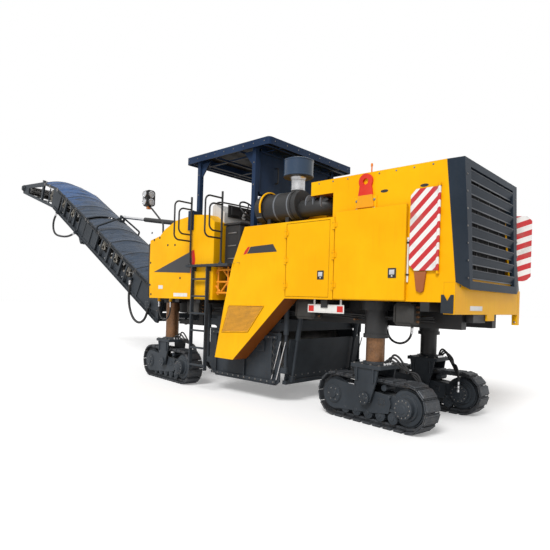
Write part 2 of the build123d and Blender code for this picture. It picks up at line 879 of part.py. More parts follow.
def exhaust_muffler():
    y = canister_y
    body = rod_x(y, canister_z - 30, 165, canister_s0 + 60, canister_s1 - 60)
    saddle = block(canister_s0 + 180, canister_s0 + 240, y - 110, y + 110, cabinet_top_z + touch, canister_z - 30)
    saddle2 = block(canister_s1 - 260, canister_s1 - 200, y - 110, y + 110, cabinet_top_z + touch, canister_z - 30)
    start = (at(canister_s0 + 80), y, canister_z - 60)
    corner = (at(pocket_s + 170), y, canister_z - 60)
    end = (at(pocket_s + 170), pocket_y + touch, canister_z - 60)
    inlet = tube([start, corner, end], 75, 150)
    stack = rod_z(canister_s0 + 200, y, 62, canister_z, 3560)
    bore = rod_z(canister_s0 + 200, y, 56, 3300, 3561)
    return joined([body, saddle, saddle2, inlet, stack]) - bore


keep("exhaust_muffler", exhaust_muffler())


# Lifting eyes on the hood sides

eye_s = 1185
eye_z = 3120
eye_hole_r = 40


def lifting_eye(side):
    y0 = side * (body_half + touch)
    y1 = side * (body_half + 30)
    plate = side_prism([(eye_s - 130, 2790), (eye_s + 130, 2790), (eye_s + 75, 3120), (eye_s - 75, 3120)],
                       *sorted((y0, y1)))
    head = rod_y(eye_s, eye_z, 100, y0, y1)
    return plate + head - rod_y(eye_s, eye_z, eye_hole_r, side * (body_half - 1), side * (body_half + 60))


keep("lifting_eyes", *[lifting_eye(side) for side in (-1, 1)])

lamp_s = 6420
lamp_y = -930
lamp_z = 3560


def work_lamp():
    base = side_prism([(5845, front_top_z(5845) + touch), (5935, front_top_z(5935) + touch), (5935, 2705), (5845, 2705)],
                      lamp_y - 45, lamp_y + 45)
    stalk = tube([(at(5890), lamp_y, 2690), (at(5900), lamp_y, 3020), (at(6300), lamp_y, 3340),
                  (at(lamp_s), lamp_y, lamp_z - 150)], 17, 120)
    head = block(lamp_s - 70, lamp_s + 70, lamp_y - 100, lamp_y + 100, lamp_z - 160, lamp_z + 160)
    head = fillet(head.edges().filter_by(Axis.X), 60)
    return joined([base, stalk, head])


keep("work_lamp", work_lamp())


# Primary conveyor from the drum housing to the slewing point

primary_half = 370
primary_low = (4360, 760)
primary_high = (6120, 1790)
primary_depth = 300


def primary_conveyor():
    s0, z0 = primary_low
    s1, z1 = primary_high
    outline = [(s0, z0), (s1, z1), (s1 + 120, z1 + 90), (s1 + 60, z1 + primary_depth), (s0, z0 + primary_depth + 80)]
    inner = [(s0 - 1, z0 + 90), (s1 + 10, z1 + 70), (s1 + 200, z1 + 140), (s1 + 200, z1 + primary_depth - 20),
             (s0 - 1, z0 + primary_depth + 30)]
    inside = primary_half - wall
    middle = side_prism(outline, -inside, inside) - side_prism(inner, -inside - 1, inside + 1)
    pieces = list(middle.solids())
    for side in (-1, 1):
        skin = side_prism(outline, side * inside, side * primary_half)
        near = block(4470, 4570, side * (primary_half - 5), side * (rail_in - touch), 1180, rail_z0 + 100)
        far = block(5400, 5500, side * (primary_half - 5), side * (rail_in - touch), 1450, 1600)
        pieces.append(joined([skin, near, far]))
    return pieces


keep("primary_conveyor", *primary_conveyor())


# Drum housing, drum, side plates on guide rods and the scraper behind the drum

housing_y0 = drum_centre_y - drum_half - gap - housing_wall - 10
housing_y1 = drum_centre_y + drum_half + gap + housing_wall + 10
plate_y = {-1: housing_y0 - plate_play - plate_thick, 1: housing_y1 + plate_play}


rod_stations = (plate_rear_s - 80, plate_front_s + 90)


def guide_y(side):
    return plate_y[side] + plate_thick / 2 - side * 25


def guide_barrel(station, side):
    y = guide_y(side)
    barrel = rod_z(station, y, guide_barrel_r, guide_barrel_z0, guide_barrel_z1)
    wall_y = housing_y0 if side < 0 else housing_y1
    y0, y1 = sorted((y, wall_y - side * 60))
    reach = housing_rear_s + 30 if station < housing_rear_s else housing_front_s - 30
    arm = block(station, reach, y0, y1, guide_barrel_z0 + 60, guide_barrel_z0 + 180)
    bore = rod_z(station, y, guide_rod_r + guide_play, guide_barrel_z0 - 1, guide_barrel_z1 - 8)
    return barrel + arm - bore


def drum_housing():
    top_z = housing_top_z
    pieces = [block(housing_rear_s, housing_front_s, housing_y0, housing_y1, top_z - housing_wall, top_z)]
    for y in (housing_y0, housing_y1 - housing_wall):
        side_wall = block(housing_rear_s, housing_front_s, y, y + housing_wall, housing_low_z, top_z)
        pieces.append(side_wall - rod_y(drum_s, drum_z, drum_shaft_r + 0.8, y - 1, y + housing_wall + 1))
    front = block(housing_front_s - housing_wall, housing_front_s, housing_y0, housing_y1, housing_low_z, top_z)
    pieces.append(front - block(housing_front_s - 50, housing_front_s + 1, -primary_half + 30, primary_half - 30,
                                primary_low[1] + 100, primary_low[1] + primary_depth))
    pieces.append(block(housing_rear_s, housing_rear_s + housing_wall, housing_y0, housing_y1, 1100, top_z))
    for side in (-1, 1):
        for station in rod_stations:
            pieces.append(guide_barrel(station, side))
    return joined(pieces)


def milling_drum():
    y0 = drum_centre_y - drum_half
    y1 = drum_centre_y + drum_half
    shell = rod_y(drum_s, drum_z, drum_r, y0, y1)
    for y in (y0, y1):
        inward = 30 if y == y0 else -30
        shell = shell + rod_y(drum_s, drum_z, drum_r + 30, *sorted((y, y + inward)))
    shaft = rod_y(drum_s, drum_z, drum_shaft_r, housing_y0 + 2, housing_y1 - 2)
    return shell + shaft


keep("milling_drum", milling_drum())


def side_plate(side):
    y0 = plate_y[side]
    y1 = y0 + plate_thick
    outline = [
        (plate_rear_s, plate_low_z + 60),
        (plate_rear_s + 80, plate_low_z),
        (plate_front_s - 160, plate_low_z),
        (plate_front_s, plate_low_z + 160),
        (plate_front_s, plate_top_z),
        (plate_rear_s, plate_top_z),
    ]
    pieces = [side_prism(outline, y0, y1)]
    runner_low, runner_high = (y0 - runner_out, y1 + runner_in) if side < 0 else (y0 - runner_in, y1 + runner_out)
    runner = side_prism([(plate_rear_s + 100, plate_low_z), (plate_front_s - 170, plate_low_z),
                         (plate_front_s - 170, plate_low_z + 50), (plate_rear_s + 100, plate_low_z + 50)],
                        runner_low, runner_high)
    pieces.append(runner)
    rod_y_place = guide_y(side)
    for station in rod_stations:
        if station < plate_rear_s:
            inner_s = min(plate_rear_s + 60, housing_rear_s - gap)
        else:
            inner_s = max(plate_front_s - 60, housing_front_s + gap)
        foot_z = plate_low_z + 200
        low_y, high_y = sorted((rod_y_place + side * -20, y0 if side > 0 else y1))
        low_y, high_y = min(low_y, y0), max(high_y, y1)
        pieces.append(block(station, inner_s, low_y, high_y, foot_z, foot_z + 90))
        pieces.append(rod_z(station, rod_y_place, guide_rod_r, foot_z, guide_rod_top))
        pieces.append(rod_z(station, rod_y_place, guide_rod_r + 14, foot_z, foot_z + 90))
    return joined(pieces)


for side, name in ((-1, "left"), (1, "right")):
    keep("side_plate_" + name, side_plate(side))


# The scraper slides on two leaning rods

def lean_place(y, height):
    lean = tan(radians(scraper_lean))
    return (at(scraper_rod_s - (height - scraper_low_z) * lean), y, height)


def scraper():
    lean = tan(radians(scraper_lean))
    top = scraper_low_z + scraper_height
    outline = [
        (scraper_s, scraper_low_z),
        (scraper_s - 24, scraper_low_z),
        (scraper_s - 24 - scraper_height * lean, top),
        (scraper_s - scraper_height * lean, top),
    ]
    plate = side_prism(outline, scraper_y0, scraper_y1)
    edge = side_prism([(scraper_s + 22, scraper_low_z), (scraper_s - 46, scraper_low_z),
                       (scraper_s - 52, scraper_low_z + 60), (scraper_s + 16, scraper_low_z + 60)],
                      scraper_y0, scraper_y1)
    pieces = [plate, edge]
    for y in scraper_rods_y:
        pieces.append(bar(lean_place(y, scraper_low_z + 60), lean_place(y, scraper_rod_top), guide_rod_r - 3))
        lug = side_prism([(scraper_s - 20, scraper_low_z + 40), (scraper_rod_s - 40, scraper_low_z + 40),
                          (scraper_rod_s - 54, scraper_low_z + 130), (scraper_s - 33, scraper_low_z + 130)],
                         y - 34, y + 34)
        pieces.append(lug)
    return joined(pieces)


keep("scraper", scraper())


def scraper_barrels():
    barrels = []
    for y in scraper_rods_y:
        barrel = bar(lean_place(y, scraper_barrel_z), lean_place(y, deck_z - 110 - 20), guide_barrel_r - 3)
        bore = bar(lean_place(y, scraper_barrel_z - 5), lean_place(y, deck_z - 110 - 45),
                   guide_rod_r - 3 + guide_play)
        head_s = scraper_rod_s - (deck_z - 130 - scraper_low_z) * tan(radians(scraper_lean))
        head = block(head_s - 40, head_s + 40, y - 40, y + 40, deck_z - 110 - 40, deck_z - 110 - touch)
        barrels.append(barrel + head - bore)
    return barrels


keep("drum_housing", drum_housing(), *scraper_barrels())


# Conveyor: places are given along a section's lower chord and square to it

def section_point(origin, angle, along, up):
    s0, z0 = origin
    a = radians(angle)
    return (s0 + along * cos(a) - up * sin(a), z0 + along * sin(a) + up * cos(a))


foot_origin = (chord_s_at_foot, chord_z_at_foot)
lower_length = (fold_s - chord_s_at_foot) / cos(radians(lower_angle))
fold_origin = section_point(foot_origin, lower_angle, lower_length, 0)
arm_length = (bend_s - fold_s) / cos(radians(lower_angle))
bend_origin = section_point(fold_origin, lower_angle, arm_length, 0)
head_length = (head_s - bend_s) / cos(radians(upper_angle))
cover_end_along = (cover_end_s - bend_s) / cos(radians(upper_angle))
half_bend = (lower_angle - upper_angle) / 2


def lower_at(along, up):
    return section_point(foot_origin, lower_angle, along, up)


def arm_at(along, up):
    return section_point(fold_origin, lower_angle, along, up)


def head_at(along, up):
    return section_point(bend_origin, upper_angle, along, up)


def bend_at(up):
    return section_point(bend_origin, (lower_angle + upper_angle) / 2, 0, up / cos(radians(half_bend)))


def bays(place, first, last, count, low, high):
    openings = []
    pitch = (last - first) / count
    for number in range(count):
        a = first + number * pitch + chord / 2
        b = first + (number + 1) * pitch - chord / 2
        openings.append([place(a, low), place(b, low), place(b, high), place(a, high)])
    return openings


foot_along = -40
fold_slit = 14


def lower_box(up0, up1, y_span):
    corners = [(arch_along - 40, up0), (arch_along + 40, up0), (arch_along + 40, up1), (arch_along - 40, up1)]
    return side_prism([lower_at(along, up) for along, up in corners], *y_span)


def lower_frame():
    outline = [
        lower_at(foot_along, 0),
        lower_at(lower_length - fold_slit, 0),
        lower_at(lower_length - fold_slit, truss_height),
        lower_at(foot_along, truss_height),
    ]
    windows = bays(lower_at, 620, lower_length - 40, 5, chord, truss_height - chord)
    pieces = []
    for side in (-1, 1):
        y0, y1 = sorted((side * (conveyor_half - side_thick), side * conveyor_half))
        plate = side_prism(outline, y0, y1)
        for window in windows:
            plate = plate - side_prism(window, y0 - 1, y1 + 1)
        pieces.append(plate)
        pieces.append(rod_y(foot_pivot_s, foot_pivot_z, 62, *sorted((side * conveyor_half, side * (post_in - 8)))))
        pieces.append(rod_y(foot_pivot_s, foot_pivot_z, pin_r, *sorted((side * conveyor_half, side * (post_in + 62)))))
        s, z = lower_at(lower_length, hinge_drop)
        lug_y = sorted((side * (conveyor_half - side_thick + 1), side * (conveyor_half - side_thick - 24)))
        lug = side_prism([lower_at(lower_length - 210, chord), lower_at(lower_length - fold_slit, chord),
                          lower_at(lower_length - fold_slit, 0), lower_at(lower_length + 40, hinge_drop),
                          lower_at(lower_length, hinge_drop - 45), lower_at(lower_length - 60, hinge_drop - 30),
                          lower_at(lower_length - 210, 0)], *lug_y)
        pieces.append(lug + rod_y(s, z, 45, *lug_y) - rod_y(s, z, hinge_pin_r + 0.8, -900, 900))
        s_arch = lower_at(arch_along, truss_height - 80)
        arch_y = side * (conveyor_half + 24)
        top = lower_at(arch_along, truss_height + 90)
        eye = lower_at(arch_along, eye_up - 30)
        low = (at(s_arch[0]), arch_y, s_arch[1])
        shoulder = (at(top[0]), arch_y, top[1])
        crown = (at(eye[0]), side * 52, eye[1])
        pieces.append(tube([low, shoulder, crown], 22, 60))
        pieces.append(lower_box(truss_height - 75, truss_height - 15, sorted((side * (conveyor_half - 5), side * (conveyor_half + 24)))))
        s, z = lower_at(arch_along, eye_up)
        ear_y = sorted((side * 38, side * 62))
        ear = rod_y(s, z, 45, *ear_y) + lower_box(eye_up - bridge_drop - bridge_thick, eye_up, ear_y)
        pieces.append(ear - rod_y(s, z, eye_pin_r, -200, 200))
    pieces.append(lower_box(eye_up - bridge_drop - bridge_thick, eye_up - bridge_drop, (-62, 62)))
    for end in (0, 1):
        pieces.append(gland("conveyor_foot_hose", end, 46, 60))
    for along in (30, 620, 1280, 1940, 2600, 3260, lower_length - 90):
        s, z = lower_at(along, 36)
        pieces.append(rod_y(s, z, 30, -conveyor_half + side_thick - 1, conveyor_half - side_thick + 1))
    return joined(pieces)


def upper_frame():
    outline = [
        arm_at(fold_slit, 0),
        bend_at(0),
        head_at(head_length, 0),
        head_at(head_length, head_height),
        head_at(cover_end_along + 40, truss_height),
        bend_at(truss_height),
        arm_at(fold_slit, truss_height),
    ]
    windows = bays(arm_at, 60, arm_length - 60, 3, chord, truss_height - chord)
    windows.extend(bays(head_at, 90, cover_end_along, 1, chord, truss_height - chord))
    windows.append([head_at(cover_end_along + 60, chord), head_at(head_length - 420, chord),
                    head_at(head_length - 420, head_height - 10), head_at(cover_end_along + 60, truss_height - 130)])
    pieces = []
    for side in (-1, 1):
        y0, y1 = sorted((side * (conveyor_half - side_thick), side * conveyor_half))
        plate = side_prism(outline, y0, y1)
        for window in windows:
            plate = plate - side_prism(window, y0 - 1, y1 + 1)
        pieces.append(plate)
        s, z = lower_at(lower_length, hinge_drop)
        y_lug = sorted((side * (conveyor_half - side_thick + 6), side * conveyor_half))
        lug = side_prism([arm_at(210, 0), arm_at(fold_slit, 0), arm_at(-40, hinge_drop),
                          arm_at(0, hinge_drop - 45), arm_at(60, hinge_drop - 30)], *y_lug)
        knob = rod_y(s, z, 45, *y_lug)
        pin = rod_y(s, z, hinge_pin_r, *sorted((side * (conveyor_half - side_thick - 30), side * (conveyor_half + 12))))
        pieces.extend([lug, knob, pin])
    inner_half = conveyor_half - side_thick + 1
    for place, radius, alongs in ((arm_at, 30, (120, 1000, 1900)), (head_at, 16, (500, 1150, 1700))):
        for along in alongs:
            s, z = place(along, radius + 5)
            pieces.append(rod_y(s, z, radius, -inner_half, inner_half))
    for end in (0, 1):
        pieces.append(gland("conveyor_fold_hose", end, 46, 60))
    s, z = head_at(cover_end_along + 20, truss_height)
    for side in (-1, 1):
        pieces.append(rod_y(s, z + 12, 42, *sorted((side * (conveyor_half - 60), side * (conveyor_half - 1)))))
    return joined(pieces)


keep("conveyor_lower_frame", lower_frame())
keep("conveyor_upper_frame", upper_frame())


# Belt runs on rollers: carrying rollers under the top run and return rollers under the bottom run

def slab(place, a, b, up):
    return side_prism([place(a, up), place(b, up), place(b, up + belt_thick), place(a, up + belt_thick)],
                      -belt_half, belt_half)


def roller(place, along, up, radius):
    s, z = place(along, up)
    core = rod_y(s, z, radius, -belt_half, belt_half)
    return core + rod_y(s, z, 14, -conveyor_half + side_thick + touch, conveyor_half - side_thick - touch)


carry_up = 400
return_up = 150
carry_r = 50
return_r = 38
tail_r = (carry_up - return_up + belt_thick) / 2 - belt_thick - touch
tail_up = (carry_up + return_up + belt_thick) / 2


def wrap(place, along, forward):
    s, z = place(along, tail_up)
    outer = rod_y(s, z, tail_r + touch + belt_thick, -belt_half, belt_half)
    outer = outer - rod_y(s, z, tail_r + touch, -belt_half - 1, belt_half + 1)
    far = 600 if forward else -600
    keep_box = side_prism([place(along, -300), place(along + far, -300), place(along + far, 1200),
                           place(along, 1200)], -belt_half - 1, belt_half + 1)
    return outer & keep_box


tail_along = 210


def lower_belt():
    end = lower_length - fold_slit
    return joined([slab(lower_at, tail_along, end, carry_up), slab(lower_at, tail_along, end, return_up),
                   wrap(lower_at, tail_along, False)])


keep("conveyor_lower_belt", lower_belt())
keep("conveyor_lower_rollers", *(
    [roller(lower_at, tail_along, tail_up, tail_r)] +
    [roller(lower_at, 600 + 470 * k, carry_up - carry_r - touch, carry_r) for k in range(7)] +
    [roller(lower_at, 830 + 940 * k, return_up - return_r - touch, return_r) for k in range(4)]))

head_pulley_r = 96
head_pulley_up = 134
head_pulley_along = head_length - 120


def upper_belt():
    s, z = head_at(head_pulley_along, head_pulley_up)
    outer_r = head_pulley_r + touch + belt_thick
    pieces = []
    for up in (carry_up, return_up):
        pieces.append(side_prism([arm_at(fold_slit, up), bend_at(up), bend_at(up + belt_thick),
                                  arm_at(fold_slit, up + belt_thick)], -belt_half, belt_half))
    for up, end_up, bottom in ((carry_up, head_pulley_up + outer_r, 0), (return_up, head_pulley_up - outer_r, 1)):
        end_low = end_up - belt_thick if bottom == 0 else end_up
        pieces.append(side_prism([bend_at(up), head_at(head_pulley_along, end_low),
                                  head_at(head_pulley_along, end_low + belt_thick), bend_at(up + belt_thick)],
                                 -belt_half, belt_half))
    ring = rod_y(s, z, outer_r, -belt_half, belt_half) - rod_y(s, z, head_pulley_r + touch, -belt_half - 1, belt_half + 1)
    front = side_prism([head_at(head_pulley_along, -400), head_at(head_pulley_along + 500, -400),
                        head_at(head_pulley_along + 500, 800), head_at(head_pulley_along, 800)],
                       -belt_half - 1, belt_half + 1)
    pieces.append(ring & front)
    return joined(pieces)


keep("conveyor_upper_belt", upper_belt())


def head_rollers():
    rollers = [roller(head_at, head_pulley_along, head_pulley_up, head_pulley_r)]
    for along in (260, 800, 1340, 1880):
        rollers.append(roller(arm_at, along, carry_up - carry_r - touch, carry_r))
    for along in (500, 1500):
        rollers.append(roller(arm_at, along, return_up - return_r - touch, return_r))
    return rollers


keep("conveyor_upper_rollers", *head_rollers())


# Covers: arched sheets on the top chords

def arch_face(place, along):
    def spot(y, up):
        s, z = place(along, up)
        return Vector(at(s), y, z)
    edge = conveyor_half - 4
    low = truss_height + touch
    outer = ThreePointArc(spot(-edge, low), spot(0, low + cover_rise), spot(edge, low))
    inner = ThreePointArc(spot(-edge + 16, low), spot(0, low + cover_rise - cover_thick), spot(edge - 16, low))
    left = Line(spot(-edge, low), spot(-edge + 16, low))
    right = Line(spot(edge - 16, low), spot(edge, low))
    return make_face([outer, inner, left, right])


def cover_run(place, a, b):
    return loft([arch_face(place, a), arch_face(place, b)], ruled=True)


keep("conveyor_lower_cover", cover_run(lower_at, cover_start_along, lower_length - 45))
keep("conveyor_upper_cover", cover_run(arm_at, 45, arm_length - 62) , cover_run(head_at, 66, cover_end_along - 20))


# Slew bracket: a portal with pins above and below, the foot pivots and the cylinder post

def slew_bracket():
    pieces = []
    for side in (-1, 1):
        y0, y1 = sorted((side * post_in, side * (post_in + 80)))
        pieces.append(block(slew_s - 40, slew_s + 40, y0, y1, portal_low_z, portal_top_z))
        ears = sorted((side * post_in, side * (post_in + 40)))
        arm = side_prism([(slew_s + 39, foot_pivot_z - 140), (foot_pivot_s, foot_pivot_z - 75),
                          (foot_pivot_s, foot_pivot_z + 75), (slew_s + 39, foot_pivot_z + 200)], *ears)
        arm = arm + rod_y(foot_pivot_s, foot_pivot_z, 75, *ears)
        pieces.append(arm - rod_y(foot_pivot_s, foot_pivot_z, pin_r + 0.8, -900, 900))
    pieces.append(block(slew_s - 40, slew_s + 40, -post_in, post_in, portal_top_z - 110, portal_top_z))
    pieces.append(block(slew_s - 40, slew_s + 40, -post_in, post_in, portal_low_z, portal_low_z + 110))
    pieces.append(rod_z(slew_s, 0, pin_r, portal_top_z - 1, nose_z1 + 25))
    pieces.append(rod_z(slew_s, 0, pin_r + 25, portal_top_z - 1, portal_top_z + 9))
    pieces.append(rod_z(slew_s, 0, pin_r, arm_low_z - 20, portal_low_z + 1))
    pieces.append(block(slew_s + 39, cylinder_base_s + 45, -60, 60, portal_top_z - 100, portal_top_z - 10))
    pieces.append(block(cylinder_base_s - 45, cylinder_base_s + 45, -60, 60, portal_top_z - 50, cylinder_base_z - 60))
    for side in (-1, 1):
        ears = sorted((side * 36, side * 60))
        ear = block(cylinder_base_s - 45, cylinder_base_s + 45, *ears, cylinder_base_z - 61, cylinder_base_z)
        ear = ear + rod_y(cylinder_base_s, cylinder_base_z, 45, *ears)
        pieces.append(ear)
    body = joined(pieces)
    return body - rod_y(cylinder_base_s, cylinder_base_z, eye_pin_r, -200, 200)


keep("slew_bracket", slew_bracket())

eye_point = lower_at(arch_along, eye_up)
cylinder_base = Vector(at(cylinder_base_s), 0, cylinder_base_z)
rod_eye = Vector(at(eye_point[0]), 0, eye_point[1])
cylinder_line = (rod_eye - cylinder_base).normalized()
print("cylinder", (rod_eye - cylinder_base).length, rod_eye)


def lift_barrel():
    end = cylinder_base + cylinder_line * barrel_length
    body = bar(tuple(cylinder_base + cylinder_line * 88), tuple(end), barrel_r)
    body = body + bar(tuple(cylinder_base), tuple(cylinder_base + cylinder_line * 90), 28)
    eye = rod_y(cylinder_base_s, cylinder_base_z, 42, -30, 30)
    pin = rod_y(cylinder_base_s, cylinder_base_z, eye_pin_r - 0.8, -68, 68)
    bore = bar(tuple(cylinder_base + cylinder_line * 130), tuple(end + cylinder_line * 5), lift_rod_r + 0.8)
    return body + eye + pin - bore


def lift_rod():
    start = cylinder_base + cylinder_line * rod_inner_end
    body = bar(tuple(start), tuple(rod_eye - cylinder_line * 30), lift_rod_r)
    eye = Pos(*tuple(rod_eye)) * Rot(90, 0, 0) * Cylinder(40, 60)
    hole = Pos(*tuple(rod_eye)) * Rot(90, 0, 0) * Cylinder(eye_pin_r + 4, 70)
    return body + eye - hole


keep("lift_cylinder_barrel", lift_barrel())
keep("lift_cylinder_rod", lift_rod())


# Warning boards on hinge posts at the rear of the hood

def warning_board(side, turn):
    y = side * board_y
    tube_piece = rod_z(board_post_s, y, board_post_r + 7, board_z0, board_z1)
    panel = block(board_post_s, board_post_s + board_width, y - 9, y + 9, board_z0, board_z1)
    corners_cut = panel.edges().filter_by(Axis.Y).group_by(Axis.X)[0]
    panel = chamfer(corners_cut, 70)
    board = panel + tube_piece - rod_z(board_post_s, y, board_post_r + 0.8, board_z0 - 1, board_z1 + 1)
    place = Pos(at(board_post_s), y, 0)
    return place * Rot(0, 0, turn) * place.inverse() * board


def board_post(side):
    y = side * board_y
    post = rod_z(board_post_s, y, board_post_r, board_z0 - 40, board_z1 + 40)
    for z in (board_z0 - 40, board_z1 + 10):
        arm = block(board_post_s - 18, board_post_s + 18, side * (body_half + touch), y, z, z + 30)
        post = post + arm
    return post


keep("engine_hood", engine_hood(), board_post(-1), board_post(1))
keep("warning_board_left", warning_board(-1, 0))
keep("warning_board_right", warning_board(1, -board_rest_turn))


# Hoses that hang free between two glands on one body

for name, (points, radius) in hoses.items():
    keep(name, hose([(at(s), y, z) for s, y, z in points], radius))


os.makedirs("parts", exist_ok=True)
for name, solids in nodes.items():
    export_step(Compound(children=solids), "parts/" + name + ".step")
print(len(nodes), "nodes")
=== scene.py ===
import math
import random
import bpy
from mathutils import Matrix, Vector


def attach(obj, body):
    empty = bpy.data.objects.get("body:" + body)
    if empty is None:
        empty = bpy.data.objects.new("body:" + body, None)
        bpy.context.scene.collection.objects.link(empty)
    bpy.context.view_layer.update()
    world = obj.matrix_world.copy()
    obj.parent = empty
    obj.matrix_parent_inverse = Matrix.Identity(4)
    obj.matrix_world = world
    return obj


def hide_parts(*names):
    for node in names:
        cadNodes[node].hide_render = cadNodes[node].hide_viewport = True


# Cold planer: finishes, hoses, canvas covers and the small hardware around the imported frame.
# Metres; +X is the rear, +Y the machine's right side. A station is a distance ahead of the rear beam.

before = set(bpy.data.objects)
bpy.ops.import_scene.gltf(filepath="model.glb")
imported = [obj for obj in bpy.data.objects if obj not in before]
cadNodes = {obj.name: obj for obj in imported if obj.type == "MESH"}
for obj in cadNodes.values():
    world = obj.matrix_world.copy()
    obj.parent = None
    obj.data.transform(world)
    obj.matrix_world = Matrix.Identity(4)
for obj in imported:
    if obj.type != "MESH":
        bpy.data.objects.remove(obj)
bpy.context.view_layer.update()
scene = bpy.context.scene
rearX = 6.95


def spot(station, y, z):
    return Vector((rearX - station, y, z))


# Small helpers for working the way one does by hand

def deselectAll():
    if bpy.context.object and bpy.context.object.mode != "OBJECT":
        bpy.ops.object.mode_set(mode="OBJECT")
    bpy.ops.object.select_all(action="DESELECT")


def makeActive(piece):
    deselectAll()
    piece.select_set(True)
    bpy.context.view_layer.objects.active = piece


def settle(piece):
    makeActive(piece)
    bpy.ops.object.transform_apply(location=True, rotation=True, scale=True)
    return piece


def pickFaces(piece, test):
    makeActive(piece)
    bpy.ops.object.mode_set(mode="EDIT")
    bpy.ops.mesh.select_mode(type="FACE")
    bpy.ops.mesh.select_all(action="DESELECT")
    leaveEdit()
    for face in piece.data.polygons:
        face.select = test(face.normal)
    bpy.ops.object.mode_set(mode="EDIT")


def leaveEdit():
    bpy.ops.object.mode_set(mode="OBJECT")


def turnOutward():
    # in edit mode: lets every face look outward, then leaves it
    bpy.ops.mesh.select_all(action="SELECT")
    bpy.ops.mesh.normals_make_consistent(inside=False)
    leaveEdit()


squareOn = 0.9  # how far a face's normal points one way to count as facing it


def towards(x=0, y=0, z=0):
    # a test for the faces that look one way
    return lambda normal: normal.dot(Vector((x, y, z))) > squareOn


def sideways(normal):
    return abs(normal.y) > squareOn


def standing(place, direction):
    # the matrix that stands a piece made along Z on a place, along the direction
    return Matrix.Translation(Vector(place)) @ Vector(direction).to_track_quat("Z", "Y").to_matrix().to_4x4()


def insetFaces(piece, test, width, depth=0.0, apart=False):
    pickFaces(piece, test)
    bpy.ops.mesh.inset(thickness=width, depth=depth, use_individual=apart)
    leaveEdit()


def addModifier(piece, kind, **values):
    makeActive(piece)
    modifier = piece.modifiers.new(kind.title(), kind)
    for key, value in values.items():
        setattr(modifier, key, value)
    bpy.ops.object.modifier_apply(modifier=modifier.name)
    return piece


def bevelled(piece, width, segments=2, angle=35):
    return addModifier(piece, "BEVEL", width=width, segments=segments, limit_method="ANGLE",
                       angle_limit=math.radians(angle))


def box(low, high, bevel=0.0, segments=2):
    low, high = Vector(low), Vector(high)
    deselectAll()
    size = Vector([abs(b - a) for a, b in zip(low, high)])
    bpy.ops.mesh.primitive_cube_add(size=1, location=(low + high) / 2, scale=size)
    piece = settle(bpy.context.object)
    return bevelled(piece, bevel, segments) if bevel else piece


def plank(s0, s1, y0, y1, z0, z1, bevel=0.0):
    return box(spot(s0, y0, z0), spot(s1, y1, z1), bevel)


def turned(rings, start, direction, sides=24):
    # a turned part: rings are (radius, height) from the start along the direction
    deselectAll()
    radius, height = rings[0]
    bpy.ops.mesh.primitive_circle_add(vertices=sides, radius=radius, fill_type="NGON", location=(0, 0, height))
    piece = settle(bpy.context.object)
    bpy.ops.object.mode_set(mode="EDIT")
    bpy.ops.mesh.select_mode(type="FACE")
    bpy.ops.mesh.select_all(action="SELECT")
    for nextRadius, nextHeight in rings[1:]:
        bpy.ops.mesh.extrude_region_move(TRANSFORM_OT_translate={"value": (0, 0, nextHeight - height)})
        if nextRadius != radius:
            share = nextRadius / radius
            bpy.ops.transform.resize(value=(share, share, 1), center_override=(0, 0, nextHeight))
        radius, height = nextRadius, nextHeight
    turnOutward()
    piece.matrix_world = standing(start, direction)
    return settle(piece)


def pin(start, end, radius, edge=0.0, sides=20):
    # a round bar from start to end, its rims eased by edge
    start, end = Vector(start), Vector(end)
    length = (end - start).length
    if edge:
        rings = [(radius - edge, 0), (radius, edge), (radius, length - edge), (radius - edge, length)]
    else:
        rings = [(radius, 0), (radius, length)]
    return turned(rings, start, end - start, sides)


def makeBolt():
    # hexagon head on a washer, of one centimetre radius over its corners, copied wherever a bolt sits
    washer = turned([(0.0125, 0), (0.0125, 0.002)], (0, 0, 0), (0, 0, 1), 12)
    head = turned([(0.01, 0.002), (0.01, 0.0085), (0.008, 0.01)], (0, 0, 0), (0, 0, 1), 6)
    return join([washer, head])


def boltAt(place, direction, across=0.012, height=0.009):
    # a bolt with a head of that radius and height
    twin = copyOf(boltPattern)
    size = Matrix.Diagonal((across / 0.01, across / 0.01, height / 0.01, 1))
    twin.matrix_world = standing(place, direction) @ size
    return twin


def boltRow(first, step, count, direction, across, height):
    # bolts in a straight row, each a step on from the last
    return [boltAt(Vector(first) + Vector(step) * number, direction, across, height) for number in range(count)]


def boltCircle(centre, radius, count, direction, across, height, start=0.0):
    # bolts round a centre, lying flat when their direction is up and else upright along the machine
    made = []
    for number in range(count):
        angle = start + number * 2 * math.pi / count
        a, b = radius * math.cos(angle), radius * math.sin(angle)
        offset = Vector((a, b, 0) if direction[2] else (a, 0, b))
        made.append(boltAt(Vector(centre) + offset, direction, across, height))
    return made


def join(parts):
    if len(parts) > 1:
        deselectAll()
        for part in parts:
            part.select_set(True)
        bpy.context.view_layer.objects.active = parts[0]
        bpy.ops.object.join()
    return parts[0]


def copyOf(piece):
    twin = piece.copy()
    twin.data = piece.data.copy()
    scene.collection.objects.link(twin)
    return twin


def removePiece(piece):
    deselectAll()
    piece.select_set(True)
    bpy.ops.object.delete()


def copies(piece, places):
    # one copy for each matrix, each with its own mesh; the first piece goes away
    made = []
    for place in places:
        twin = copyOf(piece)
        twin.matrix_world = place @ piece.matrix_world
        made.append(twin)
    removePiece(piece)
    return settle(join(made))


def outline(points, low, high):
    # a flat plate from y low to y high, of a side outline of (station, z) points
    deselectAll()
    bpy.ops.mesh.primitive_circle_add(vertices=len(points), radius=1, fill_type="NGON")
    piece = bpy.context.object
    for vertex, (station, z) in zip(piece.data.vertices, points):
        vertex.co = spot(station, low, z)
    bpy.ops.object.mode_set(mode="EDIT")
    bpy.ops.mesh.select_mode(type="FACE")
    bpy.ops.mesh.select_all(action="SELECT")
    bpy.ops.mesh.extrude_region_move(TRANSFORM_OT_translate={"value": (0, high - low, 0)})
    turnOutward()
    return piece


